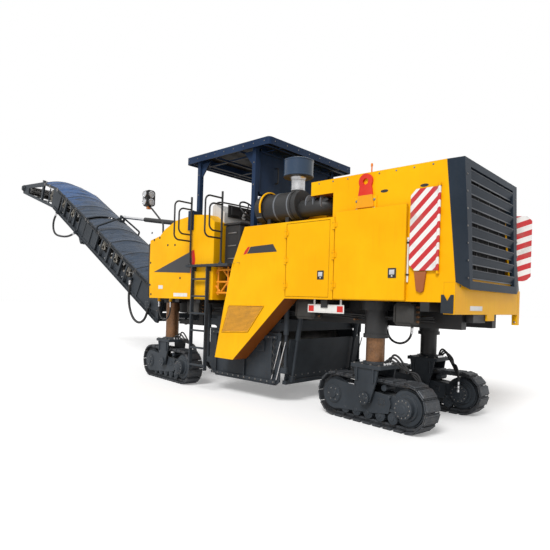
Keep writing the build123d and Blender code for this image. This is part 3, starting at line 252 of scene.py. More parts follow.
def tubeCurve(name, points, radius, steps, sides):
    # a round line along the points, still a curve
    data = bpy.data.curves.new(name, "CURVE")
    data.dimensions = "3D"
    spline = data.splines.new("NURBS")
    spline.points.add(len(points) - 1)
    for control, point in zip(spline.points, points):
        control.co = (*point, 1)
    spline.order_u = 3
    spline.use_endpoint_u = True
    data.resolution_u = steps
    data.bevel_depth = radius
    data.bevel_resolution = sides
    data.use_fill_caps = True
    return data


def bentTube(points, radius):
    # a pipe or hose along a curve, made a mesh
    piece = bpy.data.objects.new("pipe", tubeCurve("pipeLine", points, radius, 6, 4))
    scene.collection.objects.link(piece)
    makeActive(piece)
    bpy.ops.object.convert(target="MESH")
    return bpy.context.object


def finishPiece(piece, name, body, look, angle=35):
    settle(piece)
    piece.name = name
    piece.data.name = name
    piece.data.materials.clear()
    piece.data.materials.append(finish[look])
    makeActive(piece)
    bpy.ops.object.shade_smooth_by_angle(angle=math.radians(angle))
    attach(piece, body)
    return piece


# Camera, light and floor

cameraSet = {
    "place": (9.166, -6.503, 1.565),
    "yaw": 42.475,
    "roll": 1.788,
    "lens": 32.249,
    "shift": 0.0481,
}
lightSet = {
    "sunTurn": (46, 0, 18),
    "sunStrength": 2.6,
    "sunSpread": 24,
    "sky": 0.42,
    "floorColour": (0.86, 0.855, 0.85),
    "floorGlow": 0.25,
}


def setCamera():
    yaw, roll = math.radians(cameraSet["yaw"]), math.radians(cameraSet["roll"])
    ahead = Vector((-math.sin(yaw), math.cos(yaw), 0))
    side = Vector((math.cos(yaw), math.sin(yaw), 0))
    up = Vector((0, 0, 1))
    axisX = side * math.cos(roll) + up * math.sin(roll)
    axisY = up * math.cos(roll) - side * math.sin(roll)
    data = bpy.data.cameras.new("photoCamera")
    data.lens = cameraSet["lens"]
    data.sensor_width = 36
    data.shift_y = cameraSet["shift"]
    data.clip_end = 400
    camera = bpy.data.objects.new("photoCamera", data)
    turn = Matrix((axisX, axisY, -ahead)).transposed().to_4x4()
    camera.matrix_world = Matrix.Translation(Vector(cameraSet["place"])) @ turn
    scene.collection.objects.link(camera)
    scene.camera = camera


class Wire:
    # a socket of a material; sums written on it add their Math nodes
    def __init__(self, paint, socket):
        self.paint = paint
        self.socket = socket

    def maths(self, operation, first, second):
        return self.paint.node("ShaderNodeMath", {"operation": operation}, {0: first, 1: second})

    def __add__(self, value):
        return self.maths("ADD", self, value)

    def __radd__(self, value):
        return self.maths("ADD", value, self)

    def __sub__(self, value):
        return self.maths("SUBTRACT", self, value)

    def __rsub__(self, value):
        return self.maths("SUBTRACT", value, self)

    def __mul__(self, value):
        return self.maths("MULTIPLY", self, value)

    def __rmul__(self, value):
        return self.maths("MULTIPLY", value, self)

    def __truediv__(self, value):
        return self.maths("DIVIDE", self, value)


class Paint:
    # one material while it is being made
    def __init__(self, name, tree=None):
        if not tree:
            self.material = bpy.data.materials.new(name)
            self.material.use_nodes = True
        self.tree = tree or self.material.node_tree
        self.tree.nodes.clear()

    def node(self, kind, settings=None, sockets=None, output=0):
        made = self.tree.nodes.new(kind)
        for key, value in (settings or {}).items():
            setattr(made, key, value)
        for key, value in (sockets or {}).items():
            if isinstance(value, Wire):
                self.tree.links.new(value.socket, made.inputs[key])
            else:
                made.inputs[key].default_value = value
        return Wire(self, made.outputs[output]) if len(made.outputs) else None

    def place(self):
        return self.node("ShaderNodeTexCoord", output="Object")

    def stretched(self, place, scale, turn=(0, 0, 0), move=(0, 0, 0)):
        return self.node("ShaderNodeMapping", {}, {"Vector": place, "Scale": scale, "Rotation": turn,
                                                   "Location": move})

    def noise(self, place, scale, detail=2.0, roughness=0.5, twist=0.0):
        return self.node("ShaderNodeTexNoise", {}, {"Vector": place, "Scale": scale, "Detail": detail,
                                                    "Roughness": roughness, "Distortion": twist})

    def step(self, value, low, high):
        # 0 below low, 1 above high, smooth between
        return self.node("ShaderNodeMapRange", {"interpolation_type": "SMOOTHSTEP"},
                         {"Value": value, "From Min": low, "From Max": high})

    def blend(self, share, first, second):
        first = first if isinstance(first, Wire) else (*first, 1)
        second = second if isinstance(second, Wire) else (*second, 1)
        return self.node("ShaderNodeMix", {"data_type": "RGBA"}, {0: share, 6: first, 7: second}, 2)

    def dot(self, place, direction):
        return self.node("ShaderNodeVectorMath", {"operation": "DOT_PRODUCT"}, {0: place, 1: direction}, "Value")

    def rounded(self, radius):
        return self.node("ShaderNodeBevel", {"samples": 4}, {"Radius": radius})

    def bump(self, height, strength, distance, under=None):
        sockets = {"Height": height, "Strength": strength, "Distance": distance}
        if under:
            sockets["Normal"] = under
        return self.node("ShaderNodeBump", {}, sockets)

    def surface(self, **sockets):
        named = {key.replace("_", " "): value for key, value in sockets.items()}
        shader = self.node("ShaderNodeBsdfPrincipled", {}, named)
        self.node("ShaderNodeOutputMaterial", {}, {"Surface": shader})
        return self.material


def coated(name, colour, faded, dust=(0.42, 0.38, 0.32), dustShare=0.25, worn=(0.11, 0.105, 0.1), wornShare=0.6,
           rough=0.42, sheen=0.0, edge=None, peel=0.05, soot=(0.02, 0.018, 0.016), sootShare=0.25, metal=0.0,
           gloss=0.5, undersideShade=None, band=None):
    # sprayed metal: faded patches, rain streaks, dust on what faces up, edges rubbed through, and painted shade on what
    # faces the ground when an underside shade colour is given
    paint = Paint(name)
    place = paint.place()
    broad = paint.noise(place, 1.1, 4.0, 0.6)
    fine = paint.noise(place, 34.0, 5.0, 0.65)
    streaks = paint.noise(paint.stretched(place, (9.0, 9.0, 0.7)), 2.6, 5.0, 0.7)
    soft = paint.rounded(edge) if edge else None
    flat = paint.node("ShaderNodeNewGeometry", output="Normal")
    tilt = paint.dot(soft, flat) if edge else 1.0
    upward = paint.step(paint.dot(flat, (0, 0, 1)), 0.55, 0.98)
    rubbed = paint.step(1.0 - tilt + (fine - 0.5) * 0.16, 0.055, 0.2) * wornShare
    streaked = paint.step(streaks, 0.5, 0.82) * sootShare
    dusty = paint.step(fine * 0.5 + broad * 0.5, 0.38, 0.66) * (upward * 0.8 + 0.2) * dustShare
    tone = paint.blend(paint.step(broad, 0.3, 0.7), colour, faded)
    if band:
        # another colour under a height, as (height, colour)
        high = paint.dot(place, (0, 0, 1)) + (fine - 0.5) * 0.01
        tone = paint.blend(paint.step(high, band[0] - 0.004, band[0] + 0.004), band[1], tone)
    if undersideShade:
        # painted shade: what faces the ground is blended toward this darker colour
        undersideShadeMask = paint.step(paint.dot(flat, (0, 0, -1)), 0.25, 0.6)
        tone = paint.blend(undersideShadeMask, tone, undersideShade)
    tone = paint.blend(streaked, tone, soot)
    tone = paint.blend(dusty, tone, dust)
    tone = paint.blend(rubbed, tone, worn)
    peelHeight = paint.noise(place, 160.0, 2.0, 0.5)
    return paint.surface(
        Base_Color=tone, Metallic=rubbed * 0.5 + metal, Coat_Weight=sheen, Coat_Roughness=0.15,
        Specular_IOR_Level=gloss,
        Roughness=fine * 0.14 + dusty * 0.5 + (rough - 0.07),
        Normal=paint.bump(peelHeight, peel, 0.004, soft))


def bareMetal(name, colour, dark, rust=(0.12, 0.05, 0.02), rustShare=0.25, rough=0.35, metal=0.85, grain=0.12,
              edge=None, mud=(0.2, 0.17, 0.14), mudShare=0.1):
    # worn steel: brushed lines, dark patches, some rust and dried mud
    paint = Paint(name)
    place = paint.place()
    broad = paint.noise(place, 3.2, 4.0, 0.6)
    fine = paint.noise(place, 48.0, 6.0, 0.7)
    lines = paint.noise(paint.stretched(place, (120.0, 120.0, 6.0)), 1.0, 3.0, 0.5)
    rusty = paint.step(broad * 0.6 + fine * 0.4, 0.52, 0.68) * rustShare
    muddy = paint.step(paint.noise(place, 11.0, 5.0, 0.7), 0.5, 0.7) * mudShare
    tone = paint.blend(paint.step(fine * 0.5 + broad * 0.5, 0.35, 0.65), colour, dark)
    tone = paint.blend(rusty, tone, rust)
    tone = paint.blend(muddy, tone, mud)
    height = fine * 0.7 + lines * 0.3
    return paint.surface(
        Base_Color=tone, Metallic=metal * (1.0 - rusty - muddy), Roughness=fine * 0.25 + rusty + (rough - 0.1),
        Normal=paint.bump(height, grain, 0.004, paint.rounded(edge) if edge else None))


def rubberLike(name, colour=(0.018, 0.018, 0.019), scuffed=(0.075, 0.072, 0.068), rough=0.62, grain=0.15):
    paint = Paint(name)
    place = paint.place()
    fine = paint.noise(place, 90.0, 4.0, 0.6)
    scuffs = paint.step(paint.noise(place, 6.0, 6.0, 0.75), 0.48, 0.72) * 0.6
    tone = paint.blend(scuffs, colour, scuffed)
    return paint.surface(Base_Color=tone, Roughness=scuffs * 0.2 + fine * 0.1 + (rough - 0.05),
                         Normal=paint.bump(fine, grain, 0.003))


def canvasCloth(name, colour=(0.016, 0.027, 0.048), faded=(0.024, 0.046, 0.082), creaseShade=(0.005, 0.008, 0.014),
                bright=(0.022, 0.095, 0.27)):
    # tarpaulin cloth: a plain weave, sun-bleached crown, creases across the run darkened with painted shade
    paint = Paint(name)
    place = paint.place()
    warp = paint.node("ShaderNodeTexWave", {"bands_direction": "X"}, {"Vector": place, "Scale": 210.0})
    weft = paint.node("ShaderNodeTexWave", {"bands_direction": "Y"}, {"Vector": place, "Scale": 210.0})
    broad = paint.noise(place, 1.6, 4.0, 0.6)
    creases = paint.noise(paint.stretched(place, (5.0, 1.3, 1.3)), 3.0, 4.0, 0.6, 0.6)
    smears = paint.noise(paint.stretched(place, (2.0, 9.0, 9.0)), 2.0, 5.0, 0.7)
    headward = paint.step(paint.dot(place, (-1, 0, 0)) + broad * 1.4 + creases * 0.9, 4.3, 5.6)
    upward = paint.step(paint.dot(paint.node("ShaderNodeNewGeometry", output="Normal"), (0, 0, 1)), 0.2, 0.95)
    tone = paint.blend(paint.step(broad * 0.4 + upward * 0.6, 0.25, 0.9), colour, faded)
    tone = paint.blend(headward * 0.8, tone, bright)
    # painted shade: the crease valleys are blended toward the dark crease colour
    tone = paint.blend(paint.step(creases, 0.34, 0.50) * -0.75 + 0.75, tone, creaseShade)
    tone = paint.blend(paint.step(smears, 0.58, 0.8) * 0.25, tone, (0.25, 0.24, 0.22))
    height = (warp + weft) * 0.02 + creases * 0.98
    return paint.surface(
        Base_Color=tone, Roughness=broad * 0.15 + 0.55, Sheen_Weight=0.15, Sheen_Roughness=0.5,
        Normal=paint.bump(height, 0.8, 0.03))


def stripedBoard(name):
    # warning board: red and white bands at 45 degrees, blank otherwise
    paint = Paint(name)
    place = paint.place()
    across = paint.dot(place, (-0.7071, 0.7071, 0.7071))
    band = paint.node("ShaderNodeMath", {"operation": "FRACT"}, {0: across / 0.114})
    fine = paint.noise(place, 60.0, 5.0, 0.7)
    grime = paint.step(paint.noise(place, 4.0, 5.0, 0.7), 0.45, 0.75) * 0.35
    tone = paint.blend(paint.step(band, 0.485, 0.515), (0.52, 0.016, 0.022), (0.80, 0.78, 0.76))
    tone = paint.blend(grime, tone, (0.2, 0.17, 0.14))
    return paint.surface(Base_Color=tone, Roughness=fine * 0.2 + 0.35, Normal=paint.bump(fine, 0.04, 0.002))


def perforated(name, colour, hole, pitch=0.022, radius=0.3):
    # staggered round holes in a painted sheet, the holes filled with a dark colour as painted shade of the space behind
    # them
    paint = Paint(name)
    place = paint.place()
    across = paint.dot(place, (1 / pitch, 0, 0))
    up = paint.dot(place, (0, 0, 1 / (pitch * 0.866)))
    row = paint.node("ShaderNodeMath", {"operation": "FLOOR"}, {0: up})
    shift = across + row * 0.5
    inRow = paint.node("ShaderNodeMath", {"operation": "FRACT"}, {0: shift}) - 0.5
    inColumn = (paint.node("ShaderNodeMath", {"operation": "FRACT"}, {0: up}) - 0.5) * 0.866
    reach = paint.node("ShaderNodeMath", {"operation": "SQRT"}, {0: inRow * inRow + inColumn * inColumn})
    solid = paint.step(reach, radius - 0.04, radius + 0.04)
    grime = paint.step(paint.noise(place, 5.0, 5.0, 0.7), 0.4, 0.75) * 0.35
    tone = paint.blend(grime, colour, (0.25, 0.13, 0.02))
    tone = paint.blend(solid, hole, tone)
    return paint.surface(Base_Color=tone, Roughness=0.75 - solid * 0.3, Metallic=0.0,
                         Normal=paint.bump(solid, 0.6, 0.004))


def glowGlass(name, colour, rough=0.12):
    # ribbed lamp lens
    paint = Paint(name)
    place = paint.place()
    ribs = paint.node("ShaderNodeTexWave", {"bands_direction": "Y"}, {"Vector": place, "Scale": 28.0})
    spots = paint.noise(place, 20.0, 4.0, 0.6)
    tone = paint.blend(paint.step(spots, 0.45, 0.7) * 0.4, colour, (0.25, 0.24, 0.22))
    return paint.surface(Base_Color=tone, Roughness=spots * 0.2 + rough, Coat_Weight=0.8, Coat_Roughness=0.05,
                         Normal=paint.bump(ribs, 0.3, 0.004))


finish = {
    # yellow: the red-brown colour on faces that look down is painted shade
    "yellow": coated("yellowPaint", (0.86, 0.40, 0.0), (0.92, 0.48, 0.001), dust=(0.60, 0.36, 0.06), dustShare=0.12,
                     worn=(0.12, 0.08, 0.04), wornShare=0.45, rough=0.4, sootShare=0.12, edge=0.007, gloss=0.14,
                     soot=(0.16, 0.07, 0.005), undersideShade=(0.20, 0.052, 0.008)),
    "orange": coated("orangePaint", (0.75, 0.20, 0.005), (0.82, 0.30, 0.01), wornShare=0.5, rough=0.45, gloss=0.3,
                     dustShare=0.15),
    "slate": coated("slatePaint", (0.020, 0.025, 0.031), (0.036, 0.044, 0.054), dust=(0.17, 0.165, 0.15),
                    dustShare=0.22, worn=(0.19, 0.18, 0.17), wornShare=0.45, rough=0.5, gloss=0.2, edge=0.006),
    # canopy blue: the near-black colour on faces that look down is painted shade
    "blueGrey": coated("canopyPaint", (0.011, 0.026, 0.064), (0.017, 0.038, 0.088), dustShare=0.08,
                       worn=(0.12, 0.14, 0.16), wornShare=0.35, rough=0.5, gloss=0.1, undersideShade=(0.006, 0.007, 0.009)),
    "cowl": coated("cowlPaint", (0.011, 0.019, 0.031), (0.017, 0.028, 0.044), dustShare=0.07, worn=(0.13, 0.14, 0.15),
                   wornShare=0.5, rough=0.45, gloss=0.14, edge=0.006),
    "bowl": coated("bowlPaint", (0.014, 0.035, 0.072), (0.02, 0.046, 0.09), dustShare=0.05, wornShare=0.0, rough=0.3,
                   sheen=0.3, sootShare=0.1, gloss=0.3, peel=0.02),
    "black": coated("blackPaint", (0.010, 0.010, 0.011), (0.020, 0.020, 0.021), dust=(0.16, 0.15, 0.13),
                    dustShare=0.2, worn=(0.14, 0.13, 0.12), wornShare=0.4, rough=0.48, gloss=0.4),
    "lightGrey": coated("greyPaint", (0.50, 0.50, 0.49), (0.62, 0.61, 0.59), worn=(0.2, 0.2, 0.2), wornShare=0.35,
                        rough=0.45, sootShare=0.3, dustShare=0.2),
    "red": coated("redPaint", (0.55, 0.012, 0.008), (0.65, 0.03, 0.02), worn=(0.2, 0.16, 0.14), wornShare=0.4,
                  rough=0.4, gloss=0.35, dustShare=0.12),
    "eyePaint": coated("eyePaint", (0.62, 0.02, 0.008), (0.72, 0.04, 0.015), worn=(0.2, 0.16, 0.14), wornShare=0.4,
                       rough=0.4, gloss=0.35, dustShare=0.12, band=(2.945, (0.80, 0.33, 0.002))),
    "castIron": coated("castIron", (0.032, 0.031, 0.029), (0.06, 0.057, 0.053), worn=(0.25, 0.24, 0.22), peel=0.3,
                       rough=0.6, metal=0.3, dustShare=0.2),
    # vent mesh: the dark brown hole colour is painted shade
    "mesh": perforated("ventMesh", (0.80, 0.36, 0.01), (0.10, 0.035, 0.004)),
    "badge": coated("badgeFilm", (0.012, 0.012, 0.014), (0.02, 0.02, 0.023), wornShare=0.2, rough=0.3, sheen=0.2,
                    dustShare=0.1),
    "whiteFilm": coated("whiteFilm", (0.70, 0.69, 0.66), (0.80, 0.79, 0.76), wornShare=0.2, rough=0.35,
                        sootShare=0.3, dustShare=0.15),
    # brown-red pocket colour: painted shade
    "pocketShade": coated("shadePocketPaint", (0.30, 0.075, 0.012), (0.36, 0.10, 0.02), wornShare=0.3, rough=0.6, peel=0.3),
    "slatEdge": coated("slatEdge", (0.075, 0.085, 0.10), (0.13, 0.14, 0.16), wornShare=0.7, rough=0.4,
                       worn=(0.3, 0.3, 0.3)),
    "sandGrey": coated("idlerPaint", (0.20, 0.18, 0.15), (0.28, 0.26, 0.22), wornShare=0.3, rough=0.55,
                       sootShare=0.5),
    "wornSteel": bareMetal("wornSteel", (0.30, 0.29, 0.28), (0.15, 0.145, 0.14), rustShare=0.35, rough=0.42,
                           mudShare=0.35),
    "brightSteel": bareMetal("brightSteel", (0.62, 0.62, 0.63), (0.42, 0.42, 0.43), rustShare=0.05, rough=0.3,
                             mudShare=0.1),
    "trackSteel": bareMetal("trackSteel", (0.075, 0.082, 0.092), (0.038, 0.041, 0.046), rustShare=0.15, rough=0.5,
                            metal=0.5, mudShare=0.2, grain=0.35, edge=0.003),
    "bronze": bareMetal("bronzeColumn", (0.26, 0.13, 0.06), (0.12, 0.06, 0.03), rustShare=0.35, rough=0.4,
                        metal=0.6, mudShare=0.15),
    "chrome": bareMetal("chromeBar", (0.75, 0.75, 0.76), (0.6, 0.6, 0.62), rustShare=0.05, rough=0.2, metal=1.0,
                        grain=0.03, mudShare=0.05),
    "rubber": rubberLike("blackRubber", (0.012, 0.012, 0.013), (0.05, 0.049, 0.047)),
    "belt": rubberLike("beltRubber", (0.020, 0.019, 0.018), (0.09, 0.083, 0.073), 0.7, 0.3),
    "strap": rubberLike("strapWebbing", (0.012, 0.016, 0.022), (0.04, 0.045, 0.05), 0.75, 0.4),
    "canvas": canvasCloth("tarpCloth"),
    "board": stripedBoard("boardStripes"),
    "amberLens": glowGlass("amberLens", (0.75, 0.22, 0.01)),
    "clearLens": glowGlass("clearLens", (0.5, 0.52, 0.54)),
}

nodeFinish = {
    "slate": ["ladders", "platform", "primary_conveyor", "slew_bracket", "conveyor_lower_frame", "conveyor_upper_frame",
              "drum_housing", "side_plate_left", "side_plate_right", "scraper", "track_frame_front_left",
              "track_frame_front_right", "track_frame_rear_left", "track_frame_rear_right"],
    "yellow": ["rear_beam", "engine_hood", "cabinet_left", "cabinet_right", "front_body", "front_door_left",
               "front_door_right", "engine_door_left", "engine_door_right"],
    "blueGrey": ["canopy_roof", "canopy_posts"],
    "cowl": ["rear_grille"],
    # the two right leg columns are painted black as painted shade; they are the same columns as the bronze left ones
    "black": ["main_frame", "leg_sleeves", "grab_rails", "air_cleaner", "work_lamp", "steering_wheel",
              "lift_cylinder_barrel", "leg_column_front_right", "leg_column_rear_right"],
    "lightGrey": ["control_console", "conveyor_lower_rollers", "conveyor_upper_rollers"],
    "eyePaint": ["lifting_eyes"],
    "castIron": ["engine_block"],
    "wornSteel": ["exhaust_muffler", "milling_drum"],
    "trackSteel": ["track_front_left", "track_front_right", "track_rear_left", "track_rear_right"],
    "bronze": ["leg_column_front_left", "leg_column_rear_left"],
    "chrome": ["lift_cylinder_rod"],
    "rubber": ["front_leg_hose", "rear_leg_hose", "conveyor_foot_hose", "conveyor_fold_hose"],
    "belt": ["conveyor_lower_belt", "conveyor_upper_belt"],
    "canvas": ["conveyor_lower_cover", "conveyor_upper_cover"],
    "board": ["warning_board_left", "warning_board_right"],
}


def paintNodes():
    for key, names in nodeFinish.items():
        for name in names:
            for materialSlot in cadNodes[name].material_slots:
                materialSlot.material = finish[key]


def addStage():
    deselectAll()
    bpy.ops.mesh.primitive_plane_add(size=160, location=(0, 0, 0))
    floor = bpy.context.object
    floor.name = "studioFloor"
    paint = Paint("floorPaint")
    seen = paint.node("ShaderNodeLightPath", output="Is Camera Ray")
    speckle = paint.noise(paint.place(), 3.0, 4.0, 0.6)
    tone = paint.blend(speckle * 0.1, lightSet["floorColour"], (0.82, 0.82, 0.82))
    glow = paint.blend(seen, (0, 0, 0), (1, 1, 1))
    floor.data.materials.append(paint.surface(
        Base_Color=tone, Roughness=0.9, Emission_Color=glow, Emission_Strength=lightSet["floorGlow"]))
    sunData = bpy.data.lights.new("softSun", "SUN")
    sunData.energy = lightSet["sunStrength"]
    sunData.angle = math.radians(lightSet["sunSpread"])
    sun = bpy.data.objects.new("softSun", sunData)
    sun.rotation_euler = [math.radians(turn) for turn in lightSet["sunTurn"]]
    scene.collection.objects.link(sun)


def addSky():
    # the camera, mirrors and glass see a white backdrop, the object is lit by a softer sky
    world = bpy.data.worlds.new("studioSky")
    world.use_nodes = True
    scene.world = world
    sky = Paint("studioSky", world.node_tree)
    seen = sum(sky.node("ShaderNodeLightPath", output="Is " + ray + " Ray")
               for ray in ("Camera", "Glossy", "Transmission"))
    strength = sky.node("ShaderNodeMapRange", {}, {"Value": seen, "To Min": lightSet["sky"], "To Max": 1.0})
    glow = sky.node("ShaderNodeBackground", {}, {"Color": (1, 1, 1, 1), "Strength": strength})
    sky.node("ShaderNodeOutputWorld", {}, {"Surface": glow})


scene.view_settings.view_transform = "Standard"
setCamera()
addSky()
addStage()
paintNodes()
print("stage: finishes on the frame")

# Free hoses: the same points as the frame's routes

hoses = {
    "conveyor_foot_hose": {
        "body": "conveyor_lower", "length": 1.749, "width": 0.052, "y": -605,
        "route": [(7560, 1940), (7600, 1740), (7605, 1500), (7540, 1270), (7390, 1080), (7170, 1000), (6965, 1075),
                  (6850, 1250), (6815, 1440)]},
    "conveyor_fold_hose": {
        "body": "conveyor_upper", "length": 1.906, "width": 0.052, "y": -605,
        "route": [(11407, 3815), (11560, 3700), (11640, 3520), (11600, 3340), (11450, 3220), (11190, 3160),
                  (10860, 3120), (10540, 3130), (10300, 3190)]},
    "front_leg_hose": {
        "body": "chassis", "length": 0.881, "width": 0.028, "y": -1000,
        "route": [(5850, 1500), (5850, 1390), (5835, 1270), (5765, 1180), (5655, 1150), (5550, 1190), (5492, 1290),
                  (5480, 1395), (5480, 1500)]},
    "rear_leg_hose": {
        "body": "chassis", "length": 0.687, "width": 0.03, "y": -425,
        "route": [(860, 1290), (860, 1180), (928, 1080), (1042, 1042), (1158, 1078), (1232, 1178), (1232, 1290)]},
}


def addHoses():
    # each hose stays a curve and has a ferrule at both ends
    for node, given in hoses.items():
        points = [spot(s / 1000, given["y"] / 1000, z / 1000) for s, z in given["route"]]
        radius = given["width"] / 2
        data = tubeCurve(node + "_line", points, radius, 10, 5)
        hose = bpy.data.objects.new(node + "_tube", data)
        scene.collection.objects.link(hose)
        data.materials.append(finish["rubber"])
        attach(hose, given["body"])
        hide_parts(node)
        rings = [(radius * 1.12, 0), (radius * 1.3, 0.004), (radius * 1.3, 0.05), (radius * 1.16, 0.056),
                 (radius * 1.16, 0.07), (radius * 1.26, 0.074), (radius * 1.04, 0.104)]
        for ending, first, second in (("a", points[0], points[1]), ("b", points[-1], points[-2])):
            end = turned(rings, first, (second - first).normalized(), 20)
            finishPiece(end, node + "_ferrule_" + ending, given["body"], "chrome")


addHoses()
boltPattern = makeBolt()
print("stage: hoses")


# Crawler tracks: one shoe with its links, copied round the loop

trackSet = {
    "length": 1.8, "height": 0.62, "width": 0.30, "shoes": 26, "thick": 0.034, "link": 0.042,
    "padHalf": 0.061, "plateHalf": 0.073, "groove": 0.012,
    "corners": {
        "front_left": (5.69, -0.79, -6.6), "front_right": (5.69, 0.79, -6.6),
        "rear_left": (1.19, -0.79, -8.0), "rear_right": (1.19, 0.79, -3.0)},
}


def loopPlace(distance):
    # matrix on the loop's outer face: X along the run, Z outward
    radius = trackSet["height"] / 2
    straight = trackSet["length"] - trackSet["height"]
    arc = math.pi * radius
    distance %= 2 * straight + 2 * arc
    if distance < straight:
        place, angle = Vector((distance - straight / 2, 0, 0)), -math.pi / 2
    elif distance < straight + arc:
        angle = -math.pi / 2 + (distance - straight) / radius
        place = Vector((straight / 2 + radius * math.cos(angle), 0, radius + radius * math.sin(angle)))
    elif distance < 2 * straight + arc:
        place, angle = Vector((straight / 2 - (distance - straight - arc), 0, 2 * radius)), math.pi / 2
    else:
        angle = math.pi / 2 + (distance - 2 * straight - arc) / radius
        place = Vector((-straight / 2 + radius * math.cos(angle), 0, radius + radius * math.sin(angle)))
    outward = Vector((math.cos(angle), 0, math.sin(angle)))
    along = Vector((-math.sin(angle), 0, math.cos(angle)))
    turn = Matrix((along, outward.cross(along), outward)).transposed().to_4x4()
    return Matrix.Translation(place) @ turn


def cornerPlace(corner):
    station, y, crab = trackSet["corners"][corner]
    return Matrix.Translation(spot(station, y, 0)) @ Matrix.Rotation(math.radians(crab), 4, "Z")


def makeShoe():
    half, pad, plate = trackSet["width"] / 2, trackSet["padHalf"], trackSet["plateHalf"]
    thick, link = trackSet["thick"], trackSet["link"]
    base = box((-plate, -half, -thick), (plate, half, -thick + 0.013), 0.003, 1)
    block = box((-pad, -half + 0.006, -thick + 0.012), (pad, half - 0.006, -0.0005))
    pickFaces(block, towards(z=1))
    bpy.ops.mesh.inset(thickness=0.007, depth=0)
    bpy.ops.mesh.inset(thickness=0.004, depth=-trackSet["groove"] / 3)
    leaveEdit()
    bevelled(block, 0.012, 1, 50)
    parts = [base, block]
    for x in (-0.03, 0.03):
        parts.append(box((x - 0.006, -half + 0.03, -0.006), (x + 0.006, half - 0.03, 0.0), 0.002, 1))
    for y in (-0.062, 0.062):
        parts.append(box((-0.081, y - 0.012, -thick - link + 0.002), (0.081, y + 0.012, -thick + 0.001), 0.008, 1))
        parts.append(pin((0.06, y - 0.02, -thick - link / 2), (0.06, y + 0.02, -thick - link / 2), 0.014, 0, 8))
    for y in (-0.118, 0.118):
        for x in (-0.068, 0.068):
            parts.append(turned([(0.0065, 0), (0.0065, 0.006)], (x, y, -thick + 0.012), (0, 0, 1), 6))
    return join(parts)


def makeTracks():
    straight = trackSet["length"] - trackSet["height"]
    pitch = (2 * straight + math.pi * trackSet["height"]) / trackSet["shoes"]
    loop = copies(makeShoe(), [loopPlace((number + 0.5) * pitch) for number in range(trackSet["shoes"])])
    for corner in trackSet["corners"]:
        twin = copies(copyOf(loop), [cornerPlace(corner)])
        finishPiece(twin, "crawler_loop_" + corner, "track_" + corner, "trackSteel", 30)
        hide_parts("track_" + corner)
    removePiece(loop)


def makeTrackGear():
    # motor, idler, rollers, fork ribs and bolts, modelled once at the origin and copied to each corner
    gear, trim = [], []
    end = (trackSet["length"] - trackSet["height"]) / 2
    for side in (-1, 1):
        out = (0, side, 0)
        gear.append(turned([(0.215, 0), (0.215, 0.02), (0.2, 0.026), (0.165, 0.026), (0.155, 0.045), (0.14, 0.05)],
                           (end, side * 0.076, 0.31), out, 40))
        gear.append(turned([(0.128, 0), (0.128, 0.006), (0.116, 0.012), (0.094, 0.012), (0.09, 0.026), (0.058, 0.03),
                            (0.052, 0.038), (0.03, 0.04)], (end, side * 0.185, 0.31), out, 32))
        gear.append(turned([(0.2, 0), (0.2, 0.012), (0.19, 0.018), (0.15, 0.018), (0.14, 0.03)],
                           (-end, side * 0.076, 0.31), out, 40))
        gear.append(turned([(0.118, 0), (0.118, 0.01), (0.104, 0.014), (0.058, 0.016), (0.054, 0.03), (0.03, 0.033)],
                           (-end, side * 0.139, 0.31), out, 32))
        trim += boltCircle((end, side * 0.196, 0.31), 0.105, 12, out, 0.008, 0.007)
        trim += boltCircle((-end, side * 0.152, 0.31), 0.083, 6, out, 0.009, 0.008)
        for number in range(5):
            x = (number - 2) * 0.198
            gear.append(turned([(0.055, 0), (0.055, 0.006), (0.03, 0.009), (0.026, 0.02), (0.016, 0.022)],
                               (x, side * 0.114, 0.1503), out, 20))
        shell = [(-0.59 + 0.205 * math.cos(math.radians(a)), 0.31 + 0.205 * math.sin(math.radians(a)))
                 for a in range(70, 291, 20)] + [(0.1, 0.165), (0.34, 0.2), (0.37, 0.33), (0.33, 0.43), (0.05, 0.455)]
        plate = outline([(rearX - x, z) for x, z in shell], side * 0.1205, side * 0.1325)
        gear.append(bevelled(plate, 0.003, 1))
        window = box((0.185, side * 0.132, 0.29), (0.275, side * 0.137, 0.375), 0.004, 1)
        insetFaces(window, sideways, 0.01, -0.008)
        gear.append(window)
        gear.append(box((-0.47, side * 0.1, 0.225), (0.43, side * 0.122, 0.262), 0.004, 1))
        gear.append(box((-0.4, side * 0.1, 0.395), (0.36, side * 0.125, 0.432), 0.004, 1))
        for x in (-0.33, -0.24, 0.24, 0.33):
            trim.append(boltAt((x, side * 0.105, 0.33), out, 0.014, 0.012))
        gear.append(turned([(0.082, 0), (0.082, 0.012), (0.074, 0.018), (0.035, 0.018), (0.03, 0.026)],
                           (0, side * 0.203, 0.345), out, 28))
        trim += boltCircle((0, side * 0.219, 0.345), 0.058, 5, out, 0.008, 0.007, 0.3)
        for x in (-0.135, 0.135):
            gear.append(box((x - 0.011, side * 0.186, 0.56), (x + 0.011, side * 0.209, 0.74), 0.004, 1))
        for x in (-0.205, -0.07, 0.07, 0.205):
            trim.append(boltAt((x, side * 0.172, 0.785), (0, 0, 1), 0.015, 0.013))
    patterns = (("track_gear_", join(gear), "slate"), ("track_bolts_", join(trim), "wornSteel"))
    for corner in trackSet["corners"]:
        for word, pattern, look in patterns:
            finishPiece(copies(copyOf(pattern), [cornerPlace(corner)]), word + corner, "track_" + corner, look)
        makeTrackHoses(corner)
    for word, pattern, look in patterns:
        removePiece(pattern)


